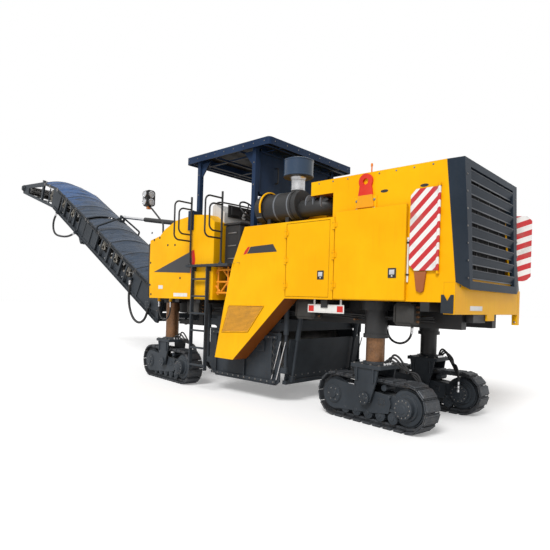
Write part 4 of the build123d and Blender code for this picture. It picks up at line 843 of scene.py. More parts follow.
def makeTrackHoses(corner):
    # drive hoses clamped between the fork and the motor, a chromed tensioner fitting at the front
    side = 1 if corner.endswith("right") else -1
    place = cornerPlace(corner)
    black, clips = [], []
    for number, y in enumerate((-0.055, 0.0, 0.055)):
        rise = 0.03 * number
        route = [(0.2, y, 0.80), (0.225, y, 0.865 + rise), (0.31, y + 0.02, 0.86 + rise), (0.4, y + 0.05, 0.79),
                 (0.46, 0.115 + y * 0.3, 0.72), (0.55, 0.175, 0.66 - y), (0.6, 0.2, 0.53), (0.6, 0.215, 0.42 - y)]
        black.append(bentTube([place @ Vector((x, -side * across, z)) for x, across, z in route], 0.0135))
        clips.append(turned([(0.02, 0), (0.02, 0.03), (0.016, 0.034)], place @ Vector((0.2, -side * y, 0.7855)),
                            (0, 0, 1), 6))
        clips.append(turned([(0.019, 0), (0.019, 0.04)], place @ Vector((0.6, -side * 0.2145, 0.395 - y)),
                            place.to_3x3() @ Vector((0, side * 0.08, 1)), 6))
    for x0, x1, radius, edge in ((-0.36, -0.18, 0.026, 0.004), (-0.4, -0.36, 0.017, 0.003)):
        first, last = (place @ Vector((x, side * 0.05, 0.47)) for x in (x0, x1))
        clips.append(pin(first, last, radius, edge))
    finishPiece(join(black), "drive_hoses_" + corner, "track_" + corner, "rubber", 60)
    finishPiece(join(clips), "hose_ends_" + corner, "track_" + corner, "chrome")


def makeColumns():
    # clamp ring with bolts at each column's foot
    for corner, (station, y, _) in trackSet["corners"].items():
        ring = turned([(0.128, 0), (0.176, 0), (0.176, 0.014), (0.166, 0.02), (0.146, 0.022), (0.138, 0.034),
                       (0.126, 0.036)], spot(station, y, 0.786), (0, 0, 1), 40)
        bolts = boltCircle(spot(station, y, 0.806), 0.158, 10, (0, 0, 1), 0.01, 0.009, 0.2)
        finishPiece(join([ring] + bolts), "column_clamp_" + corner, "column_" + corner, "slate")


makeTracks()
makeTrackGear()
makeColumns()
print("stage: crawlers")


# Canvas covers over the conveyor: one sheet each, sagging between its hoops, with straps and buckles

coverSet = {
    "half": 0.556, "low": 0.58, "rise": 0.13, "thick": 0.005,
    "lowerStart": (6.60, 1.055), "angle": 29.5, "fold": 10.02, "bend": 11.80, "headAngle": 17.5,
    "span": {"lower": (0.60, 3.884), "upper": (0.045, 2.819)},
    "hoops": {"lower": [0.62, 1.27, 1.92, 2.57, 3.22, 3.86], "upper": [0.07, 0.72, 1.37, 2.045, 2.45, 2.80]},
    "bareHoop": 2.045, "folds": 26, "sag": 0.016, "ripple": 0.012, "hem": 0.012, "bendHalf": 0.09,
}


def armLength():
    # the upper section from its fold to the bend
    return (coverSet["bend"] - coverSet["fold"]) / math.cos(math.radians(coverSet["angle"]))


def conveyorPoint(along, up, section):
    # section "lower" runs from the foot, "upper" from the fold over the bend
    slope = math.radians(coverSet["angle"])
    s0, z0 = coverSet["lowerStart"]
    if section == "upper":
        run = (coverSet["fold"] - s0) / math.cos(slope)
        s0, z0 = s0 + run * math.cos(slope), z0 + run * math.sin(slope)
        arm = armLength()
        if along > arm:
            s0, z0 = s0 + arm * math.cos(slope), z0 + arm * math.sin(slope)
            along -= arm
            slope = math.radians(coverSet["headAngle"])
    return s0 + along * math.cos(slope) - up * math.sin(slope), z0 + along * math.sin(slope) + up * math.cos(slope)


def crown(part):
    # height of the taut cloth, part being -1 to 1 from side to side
    return coverSet["low"] + coverSet["rise"] * (1 - part ** 2) * 0.94


def makeCover(section):
    # one sheet that sags between its hoops, with shallow folds and a wavy hem
    low, high = coverSet["span"][section]
    deselectAll()
    bpy.ops.mesh.primitive_grid_add(x_subdivisions=96, y_subdivisions=28, size=2)
    sheet = bpy.context.object
    randomly = random.Random(7)
    folds = [(randomly.uniform(low, high), randomly.uniform(-1, 1), randomly.uniform(0.03, 0.08))
             for _ in range(coverSet["folds"])]
    for vertex in sheet.data.vertices:
        along = low + (high - low) * (vertex.co.x + 1) / 2
        part = vertex.co.y
        near = min(abs(along - hoop) for hoop in coverSet["hoops"][section])
        slack = min(1, near / 0.16)
        sag = coverSet["sag"] * slack * (1 - part ** 4)
        ripple = coverSet["ripple"] * slack * sum(
            math.exp(-((along - place) / width) ** 2) * math.exp(-((part - side) / 0.5) ** 2)
            for place, side, width in folds)
        hem = coverSet["hem"] * math.sin(along * 21) * max(0, abs(part) - 0.86) / 0.14 * slack
        up = crown(part) - sag - ripple + hem * 0.3
        station, z = conveyorPoint(along, up, section)
        if section == "upper":
            # eased over the bend
            arm, half = armLength(), coverSet["bendHalf"]
            share = min(1, max(0, (along - arm + half) / (2 * half)))
            if 0 < share < 1:
                first, last = (Vector(conveyorPoint(place, up, section)) for place in (arm - half, arm + half))
                station, z = first + (last - first) * share
        vertex.co = spot(station, part * (coverSet["half"] - 0.002), z)
    addModifier(sheet, "SOLIDIFY", thickness=coverSet["thick"], offset=-1)
    addModifier(sheet, "SUBSURF", levels=1)
    finishPiece(sheet, "cover_" + section + "_sheet", "conveyor_" + section, "canvas", 60)
    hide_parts("conveyor_" + section + "_cover")
    return sheet


def hoopOver(along, section, width=0.035, proud=0.004):
    # a strap laid over the sheet, from side to side
    deselectAll()
    bpy.ops.mesh.primitive_grid_add(x_subdivisions=2, y_subdivisions=24, size=2)
    strap = bpy.context.object
    for vertex in strap.data.vertices:
        part = vertex.co.y
        place = along + vertex.co.x * width / 2
        station, z = conveyorPoint(place, crown(part) + proud, section)
        vertex.co = spot(station, part * (coverSet["half"] + 0.001), z)
    return addModifier(strap, "SOLIDIFY", thickness=0.004, offset=0)


def buckle(along, section, side):
    # ratchet buckle on the side plate, below the sheet's hem
    s, z = conveyorPoint(along, coverSet["low"] - 0.035, section)
    y = side * 0.5603
    parts = [box(spot(s - 0.03, y, z - 0.045), spot(s + 0.03, y + side * 0.012, z + 0.04), 0.004, 1)]
    parts.append(pin(spot(s - 0.024, y + side * 0.016, z), spot(s + 0.024, y + side * 0.016, z), 0.008, 0, 8))
    return parts


def makeCovers():
    sheets = {section: makeCover(section) for section in ("lower", "upper")}
    for section, sheet in sheets.items():
        body, hoops = "conveyor_" + section, coverSet["hoops"][section]
        straps = [hoopOver(along, section) for along in hoops if along != coverSet["bareHoop"]]
        buckles = []
        for along in hoops:
            for side in (-1, 1):
                buckles += buckle(along, section, side)
        strap = finishPiece(join(straps), "cover_straps_" + section, body, "strap", 60)
        trim = finishPiece(join(buckles), "strap_buckles_" + section, body, "wornSteel")


makeCovers()
print("stage: covers")

# Conveyor: idler brackets, flanged chords, pipes, head bearings and belt cleats

conveyorSet = {
    "idlers": {"lower": [0.32, 0.95, 1.61, 2.27, 2.93, 3.55], "upper": [0.35, 0.95, 1.55, 2.35]},
    "ends": {"lower": (-0.02, 3.9), "upper": (0.03, 2.0)},
    "cleats": {"lower": (0.2, 3.8), "upper": (0.12, 1.98)}, "cleatPitch": 0.26,
    "inner": 0.505, "outer": 0.5602, "boltPitch": 0.32, "pipePitch": 0.28,
}


def onConveyor(along, y, up, section):
    station, z = conveyorPoint(along, up, section)
    return spot(station, y, z)


def slantedBox(a0, a1, y0, y1, u0, u1, section, edge=0.003):
    # a block in line with a conveyor section, from two places along it
    y0, y1 = sorted((y0, y1))
    first, last = onConveyor(a0, y0, u0, section), onConveyor(a1, y0, u0, section)
    along, across = (last - first).normalized(), Vector((0, 1, 0))
    piece = box((0, 0, 0), ((last - first).length, y1 - y0, u1 - u0), edge, 1)
    turn = Matrix((along, across, across.cross(along))).transposed().to_4x4()
    piece.matrix_world = Matrix.Translation(first) @ turn
    makeActive(settle(piece))
    bpy.ops.object.mode_set(mode="EDIT")
    turnOutward()
    return piece


def makeConveyorTrim():
    # idler brackets inside, flanges, bolts and uprights on the chords outside, two pipes on the left
    inner, outer = conveyorSet["inner"], conveyorSet["outer"]
    for section in ("lower", "upper"):
        body, idlers, (start, end) = "conveyor_" + section, conveyorSet["idlers"][section], conveyorSet["ends"][section]
        pale, dark, bolts = [], [], []
        for side in (-1, 1):
            for along in idlers:
                for reach, depth, u0, u1 in ((0.05, 0.035, 0.12, 0.47), (0.1, 0.012, 0.27, 0.33)):
                    pale.append(slantedBox(along - reach, along + reach, side * inner, side * (inner - depth), u0, u1,
                                           section))
                wheel = onConveyor(along + 0.16, side * (inner - 0.004), 0.24, section)
                pale.append(turned([(0.05, 0), (0.05, 0.03), (0.04, 0.036), (0.015, 0.036), (0.013, 0.05)], wheel,
                                   (0, -side, 0), 20))
                dark.append(slantedBox(along - 0.03, along + 0.03, side * outer, side * (outer + 0.02), 0.08, 0.5,
                                       section))
            for u0, u1 in ((0.0, 0.014), (0.066, 0.08), (0.5, 0.514), (0.566, 0.58)):
                dark.append(slantedBox(start, end, side * outer, side * (outer + 0.022), u0, u1, section, 0.002))
            along = start + 0.12
            while along < end - 0.1:
                for up in (0.04, 0.54):
                    bolts.append(boltAt(onConveyor(along, side * outer, up, section), (0, side, 0), 0.009, 0.007))
                along += conveyorSet["boltPitch"]
        finishPiece(join(pale), "idler_brackets_" + section, body, "sandGrey")
        finishPiece(join(dark), "chord_flanges_" + section, body, "slate")
        finishPiece(join(bolts), "chord_bolts_" + section, body, "wornSteel")
        pipes, pitch = [], conveyorSet["pipePitch"]
        for y, up in ((-0.575, 0.505), (-0.593, 0.528)):
            points = [onConveyor(start + 0.3 + step * pitch, y, up + 0.006 * math.sin(step * 2.1), section)
                      for step in range(int((end - start - 0.35) / pitch) + 1)]
            pipes.append(bentTube(points, 0.009))
        finishPiece(join(pipes), "conveyor_lines_" + section, body, "rubber", 60)


def conveyorHead(along, up):
    return conveyorPoint(armLength() + along, up, "upper")


def makeHeadDrive():
    # a bearing on each end of the head pulley, knobs at the cover's end
    parts, shiny = [], []
    for side in (-1, 1):
        out = (0, side, 0)
        s, z = conveyorHead(2.262, 0.16)
        parts.append(turned([(0.1, 0), (0.1, 0.014), (0.075, 0.02), (0.072, 0.05), (0.05, 0.056)],
                            spot(s, side * 0.5605, z), out, 28))
        shiny += boltCircle(spot(s, side * 0.5735, z), 0.086, 6, out, 0.009, 0.008)
        for along in (0.73, 0.96):
            s, z = conveyorHead(along, 0.60)
            shiny.append(turned([(0.022, 0), (0.022, 0.018), (0.03, 0.022), (0.03, 0.05), (0.02, 0.058)],
                                spot(s, side * 0.53, z - 0.03), (0, 0, 1), 16))
    finishPiece(join(parts), "head_bearings", "conveyor_upper", "slate")
    finishPiece(join(shiny), "head_hardware", "conveyor_upper", "wornSteel")


def makeBeltCleats():
    for section in ("lower", "upper"):
        cleats, (along, end) = [], conveyorSet["cleats"][section]
        while along < end:
            cleats.append(slantedBox(along, along + 0.03, -0.36, 0.36, 0.4152, 0.438, section, 0.004))
            along += conveyorSet["cleatPitch"]
        finishPiece(join(cleats), "belt_cleats_" + section, "conveyor_" + section, "belt")


makeConveyorTrim()
makeHeadDrive()
makeBeltCleats()
print("stage: conveyor")


# Body sides, alike but for the left one's vent: latches, blank plates, seams, reflective strips

sideSet = {
    "cabinetFace": 1.1905, "frontFace": 1.1705, "bodyFace": 1.1355,
    "vent": [(3.647, 1.480), (2.872, 1.492), (3.197, 1.084), (3.797, 1.045)],
    "plateDark": [(3.262, 2.290), (3.19, 2.392), (2.724, 2.409), (2.640, 2.295)],
    "plateRed": [(3.345, 2.276), (3.31, 2.335), (3.245, 2.394), (3.205, 2.393), (3.277, 2.289)],
    "wedgeDark": [(5.801, 2.052), (4.70, 2.388), (4.66, 2.24), (4.70, 2.018)],
    "wedgeRed": [(4.69, 2.392), (4.60, 2.42), (4.56, 2.24), (4.60, 2.012), (4.69, 2.016), (4.65, 2.24)],
    "latches": [(1.831, 1.941, "front_door"), (0.756, 1.951, "engine_door")],
    "holes": [(5.90, 2.80), (5.82, 2.66), (5.92, 2.23), (5.92, 1.81), (5.88, 1.63), (5.64, 2.69), (5.38, 2.54),
              (5.16, 2.53), (4.98, 1.93)],
    "blankFront": [(5.64, 1.735), (5.50, 1.735), (5.50, 1.80), (5.64, 1.80)],
    "blankLow": [(5.16, 1.60), (4.76, 1.60), (4.76, 1.662), (5.16, 1.662)],
}
bothSides = ((-1, "left"), (1, "right"))


def sheetAt(outlineName, face, side, thick, name, look):
    # a thin plate on a side face
    y = side * sideSet[face]
    finishPiece(outline(sideSet[outlineName], y, side * (sideSet[face] + thick)), name, "chassis", look)


def latch(station, z, side, face):
    # recessed paddle handle with its pocket, lever and lock
    y = side * face
    out = (0, side, 0)
    rim = box(spot(station - 0.055, y - side * 0.001, z - 0.06), spot(station + 0.055, y + side * 0.006, z + 0.06))
    insetFaces(rim, towards(y=side), 0.012, -0.005)
    bevelled(rim, 0.002, 1)
    lever = box(spot(station - 0.036, y + side * 0.001, z - 0.02), spot(station + 0.036, y + side * 0.009, z + 0.042),
                0.004, 2)
    lock = turned([(0.011, 0), (0.011, 0.004), (0.007, 0.006)], spot(station, y + side * 0.002, z - 0.036), out, 16)
    return rim, join([lever, lock])


def makeVent(side, word):
    # the vent sheet and its bolted frame of round bars
    sheetAt("vent", "cabinetFace", side, 0.004, "vent_mesh_" + word, "mesh")
    frameParts = []
    y = side * (sideSet["cabinetFace"] + 0.004)
    corners = [spot(station, y, z) for station, z in sideSet["vent"]]
    for first, last in zip(corners, corners[1:] + corners[:1]):
        frameParts.append(pin(first, last, 0.007, 0.001, 8))
        for share in (0.08, 0.36, 0.64, 0.92):
            place = first + (last - first) * share + Vector((0, side * 0.004, 0))
            frameParts.append(boltAt(place, (0, side, 0), 0.007, 0.005))
    finishPiece(join(frameParts), "vent_frame_" + word, "chassis", "yellow")


def makeSides():
    makeVent(*bothSides[0])
    for side, word in bothSides:
        sheetAt("plateDark", "cabinetFace", side, 0.0025, "side_plate_dark_" + word, "badge")
        sheetAt("plateRed", "cabinetFace", side, 0.0025, "side_plate_red_" + word, "red")
        sheetAt("wedgeDark", "frontFace", side, 0.0025, "front_wedge_dark_" + word, "badge")
        sheetAt("wedgeRed", "frontFace", side, 0.0025, "front_wedge_red_" + word, "red")
        for number, (station, z, door) in enumerate(sideSet["latches"]):
            rim, lever = latch(station, z, side, sideSet["cabinetFace"])
            finishPiece(rim, "latch_pocket_" + word + str(number), door + "_" + word, "black")
            finishPiece(lever, "latch_lever_" + word + str(number), door + "_" + word, "chrome")
        studs = [turned([(0.02, 0), (0.02, 0.004), (0.012, 0.006), (0.01, 0.002)],
                        spot(station, side * sideSet["frontFace"], z), (0, side, 0), 16)
                 for station, z in sideSet["holes"]]
        finishPiece(join(studs), "front_plugs_" + word, "chassis", "black")
        for number, blank in enumerate(("blankFront", "blankLow")):
            sheetAt(blank, "frontFace", side, 0.002, "blank_plate_" + word + str(number), "whiteFilm")
        makeStrips(side, word)
        rubber = plank(5.952, 6.0, side * 1.10, side * 1.173, 1.58, 2.60, 0.008)
        finishPiece(rubber, "front_seal_" + word, "chassis", "rubber")


def makeStrips(side, word):
    # reflective strip: white between red ends, blank
    face = sideSet["bodyFace"]

    def slab(s0, s1, depth0, depth1, z0, z1, edge):
        return box(spot(s0, side * (face - depth0), z0), spot(s1, side * (face - depth1), z1), edge, 1)

    carrier = [slab(2.095, 1.487, 0.03, 0.022, 1.43, 1.545, 0.003)]
    carrier += [slab(s, s - 0.03, 0.034, 0.03, 1.5, 1.63, 0) for s in (2.0, 1.56)]
    finishPiece(join(carrier), "strip_carrier_" + word, "chassis", "whiteFilm")
    finishPiece(slab(1.985, 1.6, 0.022, 0.0195, 1.447, 1.528, 0.001), "strip_white_" + word, "chassis", "whiteFilm")
    ends = [slab(s0, s1, 0.022, 0.0195, 1.447, 1.528, 0.001) for s0, s1 in ((2.078, 1.987), (1.598, 1.504))]
    finishPiece(join(ends), "strip_red_" + word, "chassis", "red")


def makeHoodTrim():
    # bolts along the hood, oval pull slots, the eyes' clamp feet, marker posts, seams and a lid on top
    bolts, pockets, feet, posts = [], [], [], []
    for side in (-1, 1):
        y = side * sideSet["bodyFace"]
        bolts += boltRow(spot(0.30, y, 3.2), (-0.235, 0, 0), 8, (0, side, 0), 0.009, 0.006)
        for station, z in ((0.925, 2.97), (1.83, 2.97), (0.4, 2.97)):
            turns = [number * math.pi / 8 for number in range(16)]
            oval = [(station + 0.052 * math.cos(turn), z + 0.018 * math.sin(turn)) for turn in turns]
            pockets.append(outline(oval, y, y + side * 0.003))
            insetFaces(pockets[-1], towards(y=side), 0.006, -0.002)
        for station in (1.055, 1.315):
            feet.append(plank(station - 0.03, station + 0.03, y - side * 0.002, y + side * 0.016, 2.73, 2.93, 0.004))
            for z in (2.77, 2.88):
                bolts.append(boltAt(spot(station, y + side * 0.015, z), (0, side, 0), 0.014, 0.012))
        posts.append(turned([(0.016, 0), (0.016, 0.008), (0.009, 0.012), (0.009, 0.115), (0.014, 0.118), (0.014, 0.15),
                             (0.008, 0.158)], spot(1.205, side * 0.99, 3.234), (0, 0, 1), 14))
        bolts.append(boltAt(spot(0.12, side * 1.0, 3.236), (0, 0, 1), 0.012, 0.008))
    seam = [plank(station - 0.012, station + 0.012, -1.12, 1.12, 3.2345, 3.2385, 0.001)
            for station in (0.75, 1.42, 1.98)]
    lid = plank(0.86, 1.33, -0.5, 0.5, 3.234, 3.252, 0.006)
    insetFaces(lid, towards(z=1), 0.03, 0.006)
    seam.append(lid)
    finishPiece(join(seam), "hood_seams", "chassis", "yellow")
    finishPiece(join(bolts), "hood_bolts", "chassis", "wornSteel")
    finishPiece(join(pockets), "hood_pulls", "chassis", "black")
    finishPiece(join(feet), "eye_feet", "chassis", "yellow")
    finishPiece(join(posts), "marker_posts", "chassis", "orange")


rearSet = {
    "low": 1.77, "high": 3.29, "foot": -0.055, "head": 0.015, "slats": 8, "fins": 36, "finPitch": 0.0445,
    "catch": [(0.012, 1.70), (0.045, 1.70), (0.085, 1.63), (0.125, 1.70), (0.158, 1.70), (0.158, 1.49), (0.012, 1.49)],
    "pocket": [(0.487, 1.967), (0.338, 1.967), (0.365, 1.74), (0.40, 1.717), (0.455, 1.74)],
}


def makeGrille():
    # lips on the leaning slats, stays and a radiator core behind them
    foot, low = rearSet["foot"], rearSet["low"]
    lean = (rearSet["head"] - foot) / (rearSet["high"] - low)
    first, last = low + 0.1, rearSet["high"] - 0.085
    pitch = (last - first) / rearSet["slats"]
    lips = []
    for number in range(rearSet["slats"]):
        z = first + (number + 0.5) * pitch
        s = foot + lean * (z - low)
        lips.append(plank(s + 0.030, s + 0.0425, -0.76, 0.76, z - 0.0545, z - 0.0405, 0.003))
        lips.append(plank(s + 0.0005, s + 0.0135, -0.76, 0.76, z + 0.0445, z + 0.0515, 0.002))
    stays = [plank(0.055, 0.075, y - 0.014, y + 0.014, first, last, 0.003) for y in (-0.38, 0.0, 0.38)]
    core = [plank(0.10, 0.13, -0.8, 0.8, first - 0.02, last + 0.02, 0.004)]
    for number in range(rearSet["fins"]):
        y = -0.78 + number * rearSet["finPitch"]
        core.append(plank(0.092, 0.1005, y, y + 0.012, first, last))
    finishPiece(join(lips), "grille_lips", "chassis", "slatEdge")
    finishPiece(join(core), "radiator_core", "chassis", "black")
    finishPiece(join(stays), "grille_stays", "chassis", "black")
    posts = []
    for y in (-0.9, 0.9):
        for number in range(7):
            z = 1.9 + number * 0.2
            posts.append(boltAt(spot(foot + lean * (z - low) - 0.0005, y * (1 - 0.03 * number / 7), z), (1, 0, 0.05),
                                0.01, 0.007))
    return posts


def makeRear():
    # a blank plate and a lamp case on the beam, catch plates, pockets and rods beside it; the pockets' brown-red is
    # painted shade
    bolts = makeGrille()
    plate = plank(-0.0005, -0.0035, -0.693, -0.302, 1.527, 1.583, 0.001)
    finishPiece(plate, "rear_plate_blank", "chassis", "whiteFilm")
    case = plank(0.02, 0.12, -0.527, -0.117, 1.377, 1.48, 0.008)
    insetFaces(case, towards(x=1), 0.015, -0.006)
    finishPiece(case, "rear_lamp_case", "chassis", "black")
    for side, word in bothSides:
        bolts += boltRow(spot(-0.0005, side * 0.2, 1.8), (0, side * 0.2, 0), 5, (1, 0, 0), 0.011, 0.008)
        notch = outline(rearSet["catch"], side * 1.1355, side * 1.1475)
        finishPiece(bevelled(notch, 0.003, 1), "corner_catch_" + word, "chassis", "slate")
        # a shallow pocket whose brown-red colour is painted shade of the body side below the warning board
        pocket = outline(rearSet["pocket"], side * 1.136, side * 1.166)
        insetFaces(pocket, towards(z=1), 0.01, -0.02)
        finishPiece(bevelled(pocket, 0.004, 1), "shaded_pocket_" + word, "chassis", "pocketShade")
        rod = turned([(0.007, 0), (0.011, 0.004), (0.011, 0.5), (0.016, 0.505), (0.016, 0.525), (0.01, 0.532)],
                     spot(0.574, side * 1.153, 1.84), (0, 0, 1), 14)
        finishPiece(rod, "marker_rod_" + word, "chassis", "whiteFilm")
        clips = [plank(0.560, 0.588, side * 1.1355, side * 1.17, z, z + 0.02, 0.003) for z in (1.92, 2.3)]
        finishPiece(join(clips), "rod_clips_" + word, "chassis", "black")
        bolts += boltRow(spot(0.205, side * 1.166, 2.08), (0, 0, 0.74), 2, (0, side, 0), 0.01, 0.008)
    finishPiece(join(bolts), "rear_bolts", "chassis", "wornSteel")


def makeUnderBody():
    # dark clutter below the deck: valve blocks, lines and clamps along the rails
    blocks, lines, clamps = [], [], []
    for side in (-1, 1):
        y = side * 0.93
        for s0, s1, z0, z1 in ((2.05, 2.38, 1.34, 1.6), (0.55, 0.80, 1.33, 1.59), (4.62, 4.92, 1.3, 1.55)):
            blocks.append(plank(s0, s1, y - 0.09, y + 0.09, z0, z1, 0.012))
            insetFaces(blocks[-1], sideways, 0.02, 0.012, True)
            for number in range(4):
                z = z0 + 0.04 + number * (z1 - z0 - 0.08) / 3
                clamps.append(turned([(0.016, 0), (0.016, 0.03), (0.011, 0.034)], spot(s0, y, z), (1, 0, 0), 6))
        for number in range(3):
            across, height = side * (0.735 + 0.03 * number), 1.378 + 0.02 * number
            points = [spot(0.4 + step * 0.4, across, height + 0.018 * math.sin(step * 1.9 + number))
                      for step in range(13)]
            lines.append(bentTube(points, 0.013))
        for step in range(6):
            s = 0.7 + step * 0.8
            clamps.append(plank(s, s + 0.03, side * 0.6, side * 0.82, 1.345, 1.367, 0.003))
    finishPiece(join(blocks), "valve_blocks", "chassis", "castIron")
    finishPiece(join(lines), "rail_lines", "chassis", "rubber", 60)
    finishPiece(join(clamps), "line_clamps", "chassis", "bronze")


makeSides()
makeHoodTrim()
makeRear()
makeUnderBody()
print("stage: body")


# Platform, canopy, console, air cleaner, exhaust, ladders and lamp

def makePlatformTrim():
    dark, steel, orange, black = [], [], [], []
    for side in (-1, 1):
        # raised treads on the wings and the braces beneath them
        for number in range(9):
            s = 3.42 + number * 0.125
            dark.append(plank(s, s + 0.012, side * 1.145, side * 1.25, 2.1495, 2.1545))
        for s0, s1 in ((3.55, 3.95), (3.98, 4.42)):
            for z0, z1 in ((1.70, 2.1), (2.1, 1.70)):
                orange.append(pin(spot(s0, side * 1.09, z0), spot(s1, side * 1.09, z1), 0.016, 0.003, 10))
        for z in (1.68, 1.86, 2.06):
            orange.append(pin(spot(3.48, side * 1.1, z), spot(4.06, side * 1.1, z), 0.018, 0.003, 10))
        for s in (3.55, 3.78, 4.02):
            orange.append(pin(spot(s, side * 1.1, 1.64), spot(s, side * 1.1, 2.108), 0.016, 0.003, 10))
        black.append(plank(3.62, 3.98, side * 0.78, side * 1.02, 2.152, 2.80, 0.02))
        insetFaces(black[-1], sideways, 0.03, -0.01, True)
        black.append(plank(3.60, 4.0, side * 0.76, side * 1.04, 2.80, 2.84, 0.012))
        for z in (2.24, 2.45, 2.66):
            steel.append(plank(3.70, 3.90, side * 1.018, side * 1.024, z, z + 0.02, 0.003))
    finishPiece(join(dark), "platform_treads", "chassis", "slatEdge")
    finishPiece(join(orange), "platform_braces", "chassis", "orange")
    finishPiece(join(black), "side_lockers", "chassis", "black")
    finishPiece(join(steel), "locker_vents", "chassis", "wornSteel")


def makeConsoleTrim():
    # sloped instrument panel with dials, lever row, screen and grab bar
    panel = box(spot(4.0895, -0.88, 2.98), spot(4.074, 0.88, 3.19), 0.006)
    insetFaces(panel, towards(x=1), 0.02, -0.004)
    finishPiece(panel, "console_panel", "chassis", "black")
    rims, faces, keys, levers = [], [], [], []
    for y, radius in ((-0.28, 0.045), (-0.16, 0.045), (-0.05, 0.034), (0.32, 0.034), (0.42, 0.034)):
        place = spot(4.076, y, 3.11)
        rims.append(turned([(radius, 0), (radius, 0.01), (radius * 0.86, 0.012), (radius * 0.82, 0.006)], place,
                           (1, 0, 0), 28))
        faces.append(turned([(radius * 0.8, 0.0055), (radius * 0.8, 0.0075)], place, (1, 0, 0), 28))
        keys.append(box(place + Vector((0.008, -0.0015, 0)), place + Vector((0.0095, 0.0015, radius * 0.66))))
    for row in range(2):
        for number in range(7):
            y = 0.06 + number * 0.034
            keys.append(box(spot(4.0745, y, 3.085 + row * 0.04), spot(4.068, y + 0.022, 3.107 + row * 0.04), 0.002, 1))
    for number in range(5):
        y = 0.55 + number * 0.06
        levers.append(turned([(0.012, 0), (0.012, 0.012), (0.006, 0.014), (0.006, 0.1), (0.016, 0.106), (0.018, 0.13),
                              (0.01, 0.142)], spot(4.08, y, 3.06), (1, 0, 0.5), 14))
    screen = box(spot(4.083, -0.82, 3.02), spot(4.05, -0.62, 3.17), 0.008)
    insetFaces(screen, towards(x=1), 0.012, -0.004)
    finishPiece(join(rims), "gauge_rims", "chassis", "chrome")
    finishPiece(join(faces), "gauge_faces", "chassis", "whiteFilm")
    finishPiece(join(keys), "console_keys", "chassis", "red")
    finishPiece(join(levers + [screen]), "console_levers", "chassis", "black")
    bar = bentTube([spot(s, y, z) for s, y, z in ((4.42, -0.86, 3.16), (4.45, -0.86, 3.28), (4.45, -0.6, 3.31),
                                                  (4.45, 0.6, 3.31), (4.45, 0.86, 3.28), (4.42, 0.86, 3.16))], 0.014)
    finishPiece(bar, "console_rail", "chassis", "black", 60)


def makeCanopyTrim():
    # ribs and lining bows under the roof, corner gussets, fascia bolts, a handle bar on the rear panel
    bolts, gussets = [], []
    ribs = [plank(s, s + 0.05, -1.06, 1.06, 3.955, 3.985, 0.004) for s in (3.05, 3.62, 4.2, 4.8)]
    ribs += [plank(2.98, 4.92, y - 0.025, y + 0.025, 3.965, 3.988, 0.004) for y in (-0.75, 0.0, 0.75)]
    for side in (-1, 1):
        bolts += boltRow(spot(3.05, side * 1.1102, 4.02), (-0.23, 0, 0), 9, (0, side, 0), 0.008, 0.006)
        for s, direction in ((4.70, -1), (3.33, 1)):
            shape = [(s + direction * 0.04, 3.95), (s + direction * 0.26, 3.95), (s + direction * 0.04, 3.70)]
            gussets.append(bevelled(outline(shape, side * 0.985, side * 1.005), 0.002, 1))
            for z in (3.40, 3.75):
                bolts.append(boltAt(spot(s, side * 1.038, z), (0, side, 0), 0.01, 0.008))
    bolts += boltRow(spot(2.9398, -0.98, 4.02), (0, 0.28, 0), 8, (1, 0, 0), 0.008, 0.006)
    for z in (3.3, 3.98):
        bolts += boltRow(spot(3.315, -0.9, z), (0, 0.257, 0), 8, (1, 0, 0), 0.007, 0.005)
    frameBars = [plank(3.312, 3.296, -0.96, 0.96, z, z + 0.04, 0.004) for z in (3.262, 3.93)]
    frameBars += [plank(3.312, 3.296, y, y + 0.04, 3.262, 3.97, 0.004) for y in (-0.96, -0.02, 0.92)]
    handle = bentTube([spot(s, -0.55, z) for s, z in ((3.31, 3.50), (3.26, 3.50), (3.25, 3.53), (3.25, 3.72),
                                                      (3.26, 3.75), (3.31, 3.75))], 0.011)
    finishPiece(join(ribs + gussets + frameBars), "canopy_ribs", "chassis", "blueGrey")
    finishPiece(join(bolts), "canopy_bolts", "chassis", "wornSteel")
    finishPiece(handle, "panel_handle", "chassis", "black", 60)


airSet = {"y": 0.985, "z": 2.975, "intake": 2.45, "hoop": 2.98, "hoopRadius": 0.25}


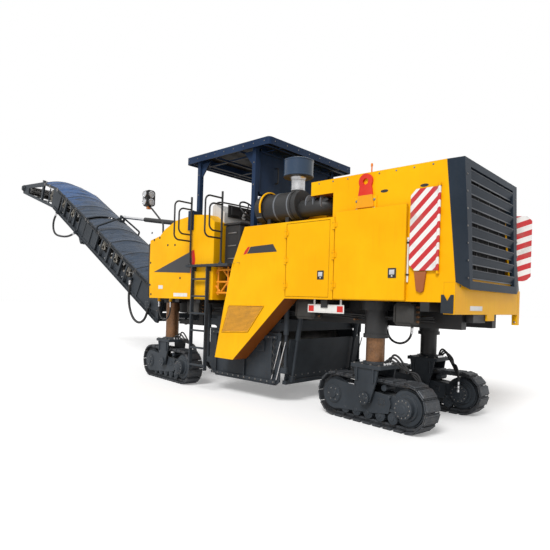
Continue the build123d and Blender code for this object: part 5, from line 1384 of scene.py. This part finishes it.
def makeAirCleaner():
    # bands, bowl, neck and hoop of the air cleaner, and the tank cowl between it and the exhaust
    y, z = -airSet["y"], airSet["z"]
    bands = [turned([(0.213, 0), (0.217, 0.003), (0.217, 0.027), (0.213, 0.03)], spot(s, y, z), (-1, 0, 0), 48)
             for s in (2.46, 2.72, 2.98)]
    for number in range(4):
        angle = math.radians(40 + number * 90)
        offset = Vector((0, math.cos(angle), math.sin(angle)))
        bands.append(box(spot(3.11, y, z) + offset * 0.214 - Vector((0, 0.012, 0.012)),
                         spot(3.0, y, z) + offset * 0.222 + Vector((0, 0.012, 0.012)), 0.003, 1))
    bowl = turned([(0.2, 0), (0.222, 0.006), (0.222, 0.022), (0.2165, 0.026), (0.2165, 0.225), (0.222, 0.229),
                   (0.222, 0.244), (0.205, 0.252), (0.05, 0.256), (0.045, 0.262), (0.02, 0.264)],
                  spot(airSet["intake"], y, 3.388), (0, 0, 1), 56)
    neck = turned([(0.101, 0), (0.104, 0.004), (0.104, 0.02), (0.101, 0.024), (0.101, 0.15), (0.106, 0.155),
                   (0.106, 0.175), (0.12, 0.2)], spot(airSet["intake"], y, 3.19), (0, 0, 1), 40)
    for s in (1.93, 2.06, 2.19):
        bands.append(turned([(0.1225, 0), (0.127, 0.002), (0.127, 0.016), (0.1225, 0.018)], spot(s, y, z), (-1, 0, 0),
                            40))
    radius = airSet["hoopRadius"]
    hoop = bentTube([spot(airSet["hoop"], y + radius * math.cos(angle), z + radius * math.sin(angle))
                     for angle in [math.radians(degrees) for degrees in range(-20, 201, 20)]], 0.016)
    finishPiece(join(bands), "cleaner_bands", "chassis", "slatEdge")
    finishPiece(bowl, "cleaner_bowl", "chassis", "bowl")
    finishPiece(neck, "cleaner_neck", "chassis", "brightSteel")
    finishPiece(hoop, "cleaner_hoops", "chassis", "yellow", 60)
    cowl = outline([(2.452, 2.70), (2.452, 3.19), (2.96, 3.19), (3.05, 3.165), (3.10, 3.10), (3.12, 3.0), (3.12, 2.70)],
                   -0.74, 0.74)
    insetFaces(cowl, lambda normal: sideways(normal) or normal.z > 0.95, 0.04, 0.005, True)
    finishPiece(bevelled(cowl, 0.008, 2), "tank_cowl", "chassis", "yellow")


def makeExhaust():
    # bands, rain cap and slots of the muffler
    parts = [turned([(0.166, 0), (0.172, 0.003), (0.172, 0.03), (0.166, 0.033)], spot(s, airSet["y"], airSet["z"]),
                    (-1, 0, 0), 44) for s in (2.42, 2.66)]
    parts.append(turned([(0.07, 0), (0.095, 0.004), (0.095, 0.016), (0.02, 0.03)], spot(2.53, airSet["y"], 3.545),
                        (0.35, 0, 1), 28))
    for number in range(8):
        s = 2.45 + number * 0.04
        parts.append(plank(s, s + 0.015, 0.94, 1.03, 3.139, 3.144))
    finishPiece(join(parts), "exhaust_trim", "chassis", "wornSteel")


def makeLadders():
    # bolts at the ladders' ends and flanges under the grab rails
    pads = []
    for y, side in ((-1.235, -1), (1.275, 1)):
        for s in (4.16, 4.52):
            pads += boltRow(spot(s, y + side * 0.018, 1.7), (0, 0, 0.35), 2, (0, side, 0), 0.012, 0.01)
    for side in (-1, 1):
        for s in (4.65, 3.85):
            pads.append(turned([(0.045, 0), (0.045, 0.008), (0.03, 0.012), (0.024, 0.03)], spot(s, side * 1.215, 2.152),
                               (0, 0, 1), 20))
    finishPiece(join(pads), "rail_flanges", "chassis", "black")


def makeLamp():
    # rims and glass of the front lamp's four faces and its amber marker
    rims, glass = [], []
    for z in (3.48, 3.63):
        for place, out in ((spot(6.352, -0.93, z), (1, 0, 0)), (spot(6.42, -1.028, z), (0, -1, 0))):
            rims.append(turned([(0.062, 0), (0.066, 0.004), (0.066, 0.02), (0.055, 0.022), (0.05, 0.006)], place, out,
                               28))
            glass.append(turned([(0.05, 0.004), (0.046, 0.012), (0.02, 0.018)], place, out, 28))
    finishPiece(join(rims), "lamp_rims", "chassis", "chrome")
    finishPiece(join(glass), "lamp_glass", "chassis", "clearLens")
    amber = box(spot(6.455, -0.97, 3.345), spot(6.385, -0.89, 3.398), 0.01)
    finishPiece(amber, "lamp_marker", "chassis", "amberLens")


makePlatformTrim()
makeConsoleTrim()
makeCanopyTrim()
makeAirCleaner()
makeExhaust()
makeLadders()
makeLamp()
print("stage: platform")

# Drum unit, slewing bracket and the conveyor's plates

def makeDrumUnit():
    # ribs, lifting eye, bolts, guide rods and a zigzag hose on each side plate, bolts on the scraper
    for side, word, face in ((-1, "left", 0.8725), (1, "right", 1.2125)):
        y = side * face
        proud = y + side * 0.03
        ribs = [plank(2.86, 4.38, y, proud, z, z + 0.045, 0.004) for z in (0.99, 0.30)]
        ribs += [plank(s, s + 0.03, y, proud, 0.34, 0.995, 0.004) for s in (2.95, 3.55, 4.25)]
        eye = outline([(3.12, 0.78), (3.12, 0.93), (3.17, 0.98), (3.24, 0.98), (3.29, 0.93), (3.29, 0.78)], y,
                      y + side * 0.022)
        ribs.append(bevelled(eye, 0.004, 1))
        dark = [turned([(0.038, 0), (0.038, 0.006), (0.026, 0.006), (0.024, 0.002)],
                       spot(3.205, y + side * 0.022, 0.905), (0, side, 0), 24)]
        bolts = []
        for z in (1.012, 0.322):
            bolts += boltRow(spot(2.9, proud, z), (-0.13, 0, 0), 12, (0, side, 0), 0.011, 0.009)
        zigzag = [spot(2.93 if number % 2 else 2.86, y + side * 0.05, 0.97 - number * 0.06) for number in range(10)]
        dark.append(bentTube(zigzag, 0.011))
        bright = [pin(spot(s, y + side * 0.018, 0.36), spot(s - 0.17, y + side * 0.018, 0.96), 0.009, 0.002, 12)
                  for s in (2.85, 2.95)]
        plate = "side_plate_" + word
        finishPiece(join(ribs), "plate_ribs_" + word, plate, "slate")
        finishPiece(join(bolts), "plate_bolts_" + word, plate, "wornSteel")
        finishPiece(join(bright), "plate_rods_" + word, plate, "chrome")
        finishPiece(join(dark), "plate_hose_" + word, plate, "rubber", 60)
    makePicks()
    rows = boltRow(spot(2.755, -0.7, 0.42), (0, 0.155, 0), 12, (1, 0, 0.14), 0.012, 0.01)
    finishPiece(join(rows), "scraper_bolts", "scraper", "wornSteel")


def makePicks():
    # two helixes of tool holders with carbide tips, meeting at the drum's middle
    holder = box((-0.022, -0.02, 0.0), (0.03, 0.02, 0.045), 0.006, 1)
    tip = turned([(0.013, 0), (0.014, 0.014), (0.01, 0.016), (0.008, 0.03), (0.003, 0.042)], (0.006, 0, 0.04),
                 (0.6, 0, 1), 10)
    places, centre = [], spot(3.56, 0.17, 0.765)
    for side, start in ((-1, 0), (1, math.pi)):
        for number in range(28):
            share = (number + 0.5) / 28
            spin = Matrix.Rotation(share * math.radians(760) + start, 4, "Y")
            across = Matrix.Translation(centre + Vector((0, side * share * 0.93, 0)))
            places.append(across @ spin @ Matrix.Translation((0, 0, 0.345)))
    finishPiece(copies(join([holder, tip]), places), "drum_picks", "drum", "wornSteel")


def makeSlewTrim():
    # bolted caps on the slewing bracket's pivot and bolts up its sides
    caps, bolts = [], []
    for side in (-1, 1):
        out = (0, side, 0)
        caps.append(turned([(0.085, 0), (0.085, 0.012), (0.06, 0.02), (0.03, 0.022)], spot(6.64, side * 0.741, 1.42),
                           out, 28))
        bolts += boltCircle(spot(6.64, side * 0.752, 1.42), 0.065, 6, out, 0.01, 0.008)
        bolts += boltRow(spot(6.30, side * 0.741, 1.3), (0, 0, 0.3), 5, out, 0.013, 0.01)
    finishPiece(join(caps), "slew_caps", "slew", "slate")
    finishPiece(join(bolts), "slew_bolts", "slew", "wornSteel")


skirtSet = {
    "skirt": {"lower": (0.66, 3.84), "upper": (0.1, 1.98)},
    "webs": {"lower": ((0.62, 1.24), (3.28, 3.86)), "upper": ((0.06, 0.42), (1.72, 2.0))},
    "guards": {"lower": (0.66, 1.32, 1.98, 2.64), "upper": (0.16, 1.05)},
    "guardLength": {"lower": 0.62, "upper": 0.8},
}


def makeConveyorSkirts():
    # side skirts along the belts, solid web plates by the body, the fold and the head
    for section in ("lower", "upper"):
        plates = []
        for side in (-1, 1):
            plates.append(slantedBox(*skirtSet["skirt"][section], side * 0.498, side * 0.508, 0.075, 0.235, section,
                                     0.002))
            for a0, a1 in skirtSet["webs"][section]:
                plates.append(slantedBox(a0, a1, side * 0.546, side * 0.5595, 0.068, 0.512, section, 0.002))
        finishPiece(join(plates), "conveyor_skirts_" + section, "conveyor_" + section, "slate")


def makeReturnGuards():
    # flat guards under the belts' return run
    for section in ("lower", "upper"):
        length = skirtSet["guardLength"][section]
        guards = [slantedBox(along, along + length, -0.5, 0.5, 0.012, 0.02, section, 0.002)
                  for along in skirtSet["guards"][section]]
        finishPiece(join(guards), "return_guards_" + section, "conveyor_" + section, "slate")


makeDrumUnit()
makeSlewTrim()
makeConveyorSkirts()
makeReturnGuards()
print("stage: working parts")
removePiece(boltPattern)
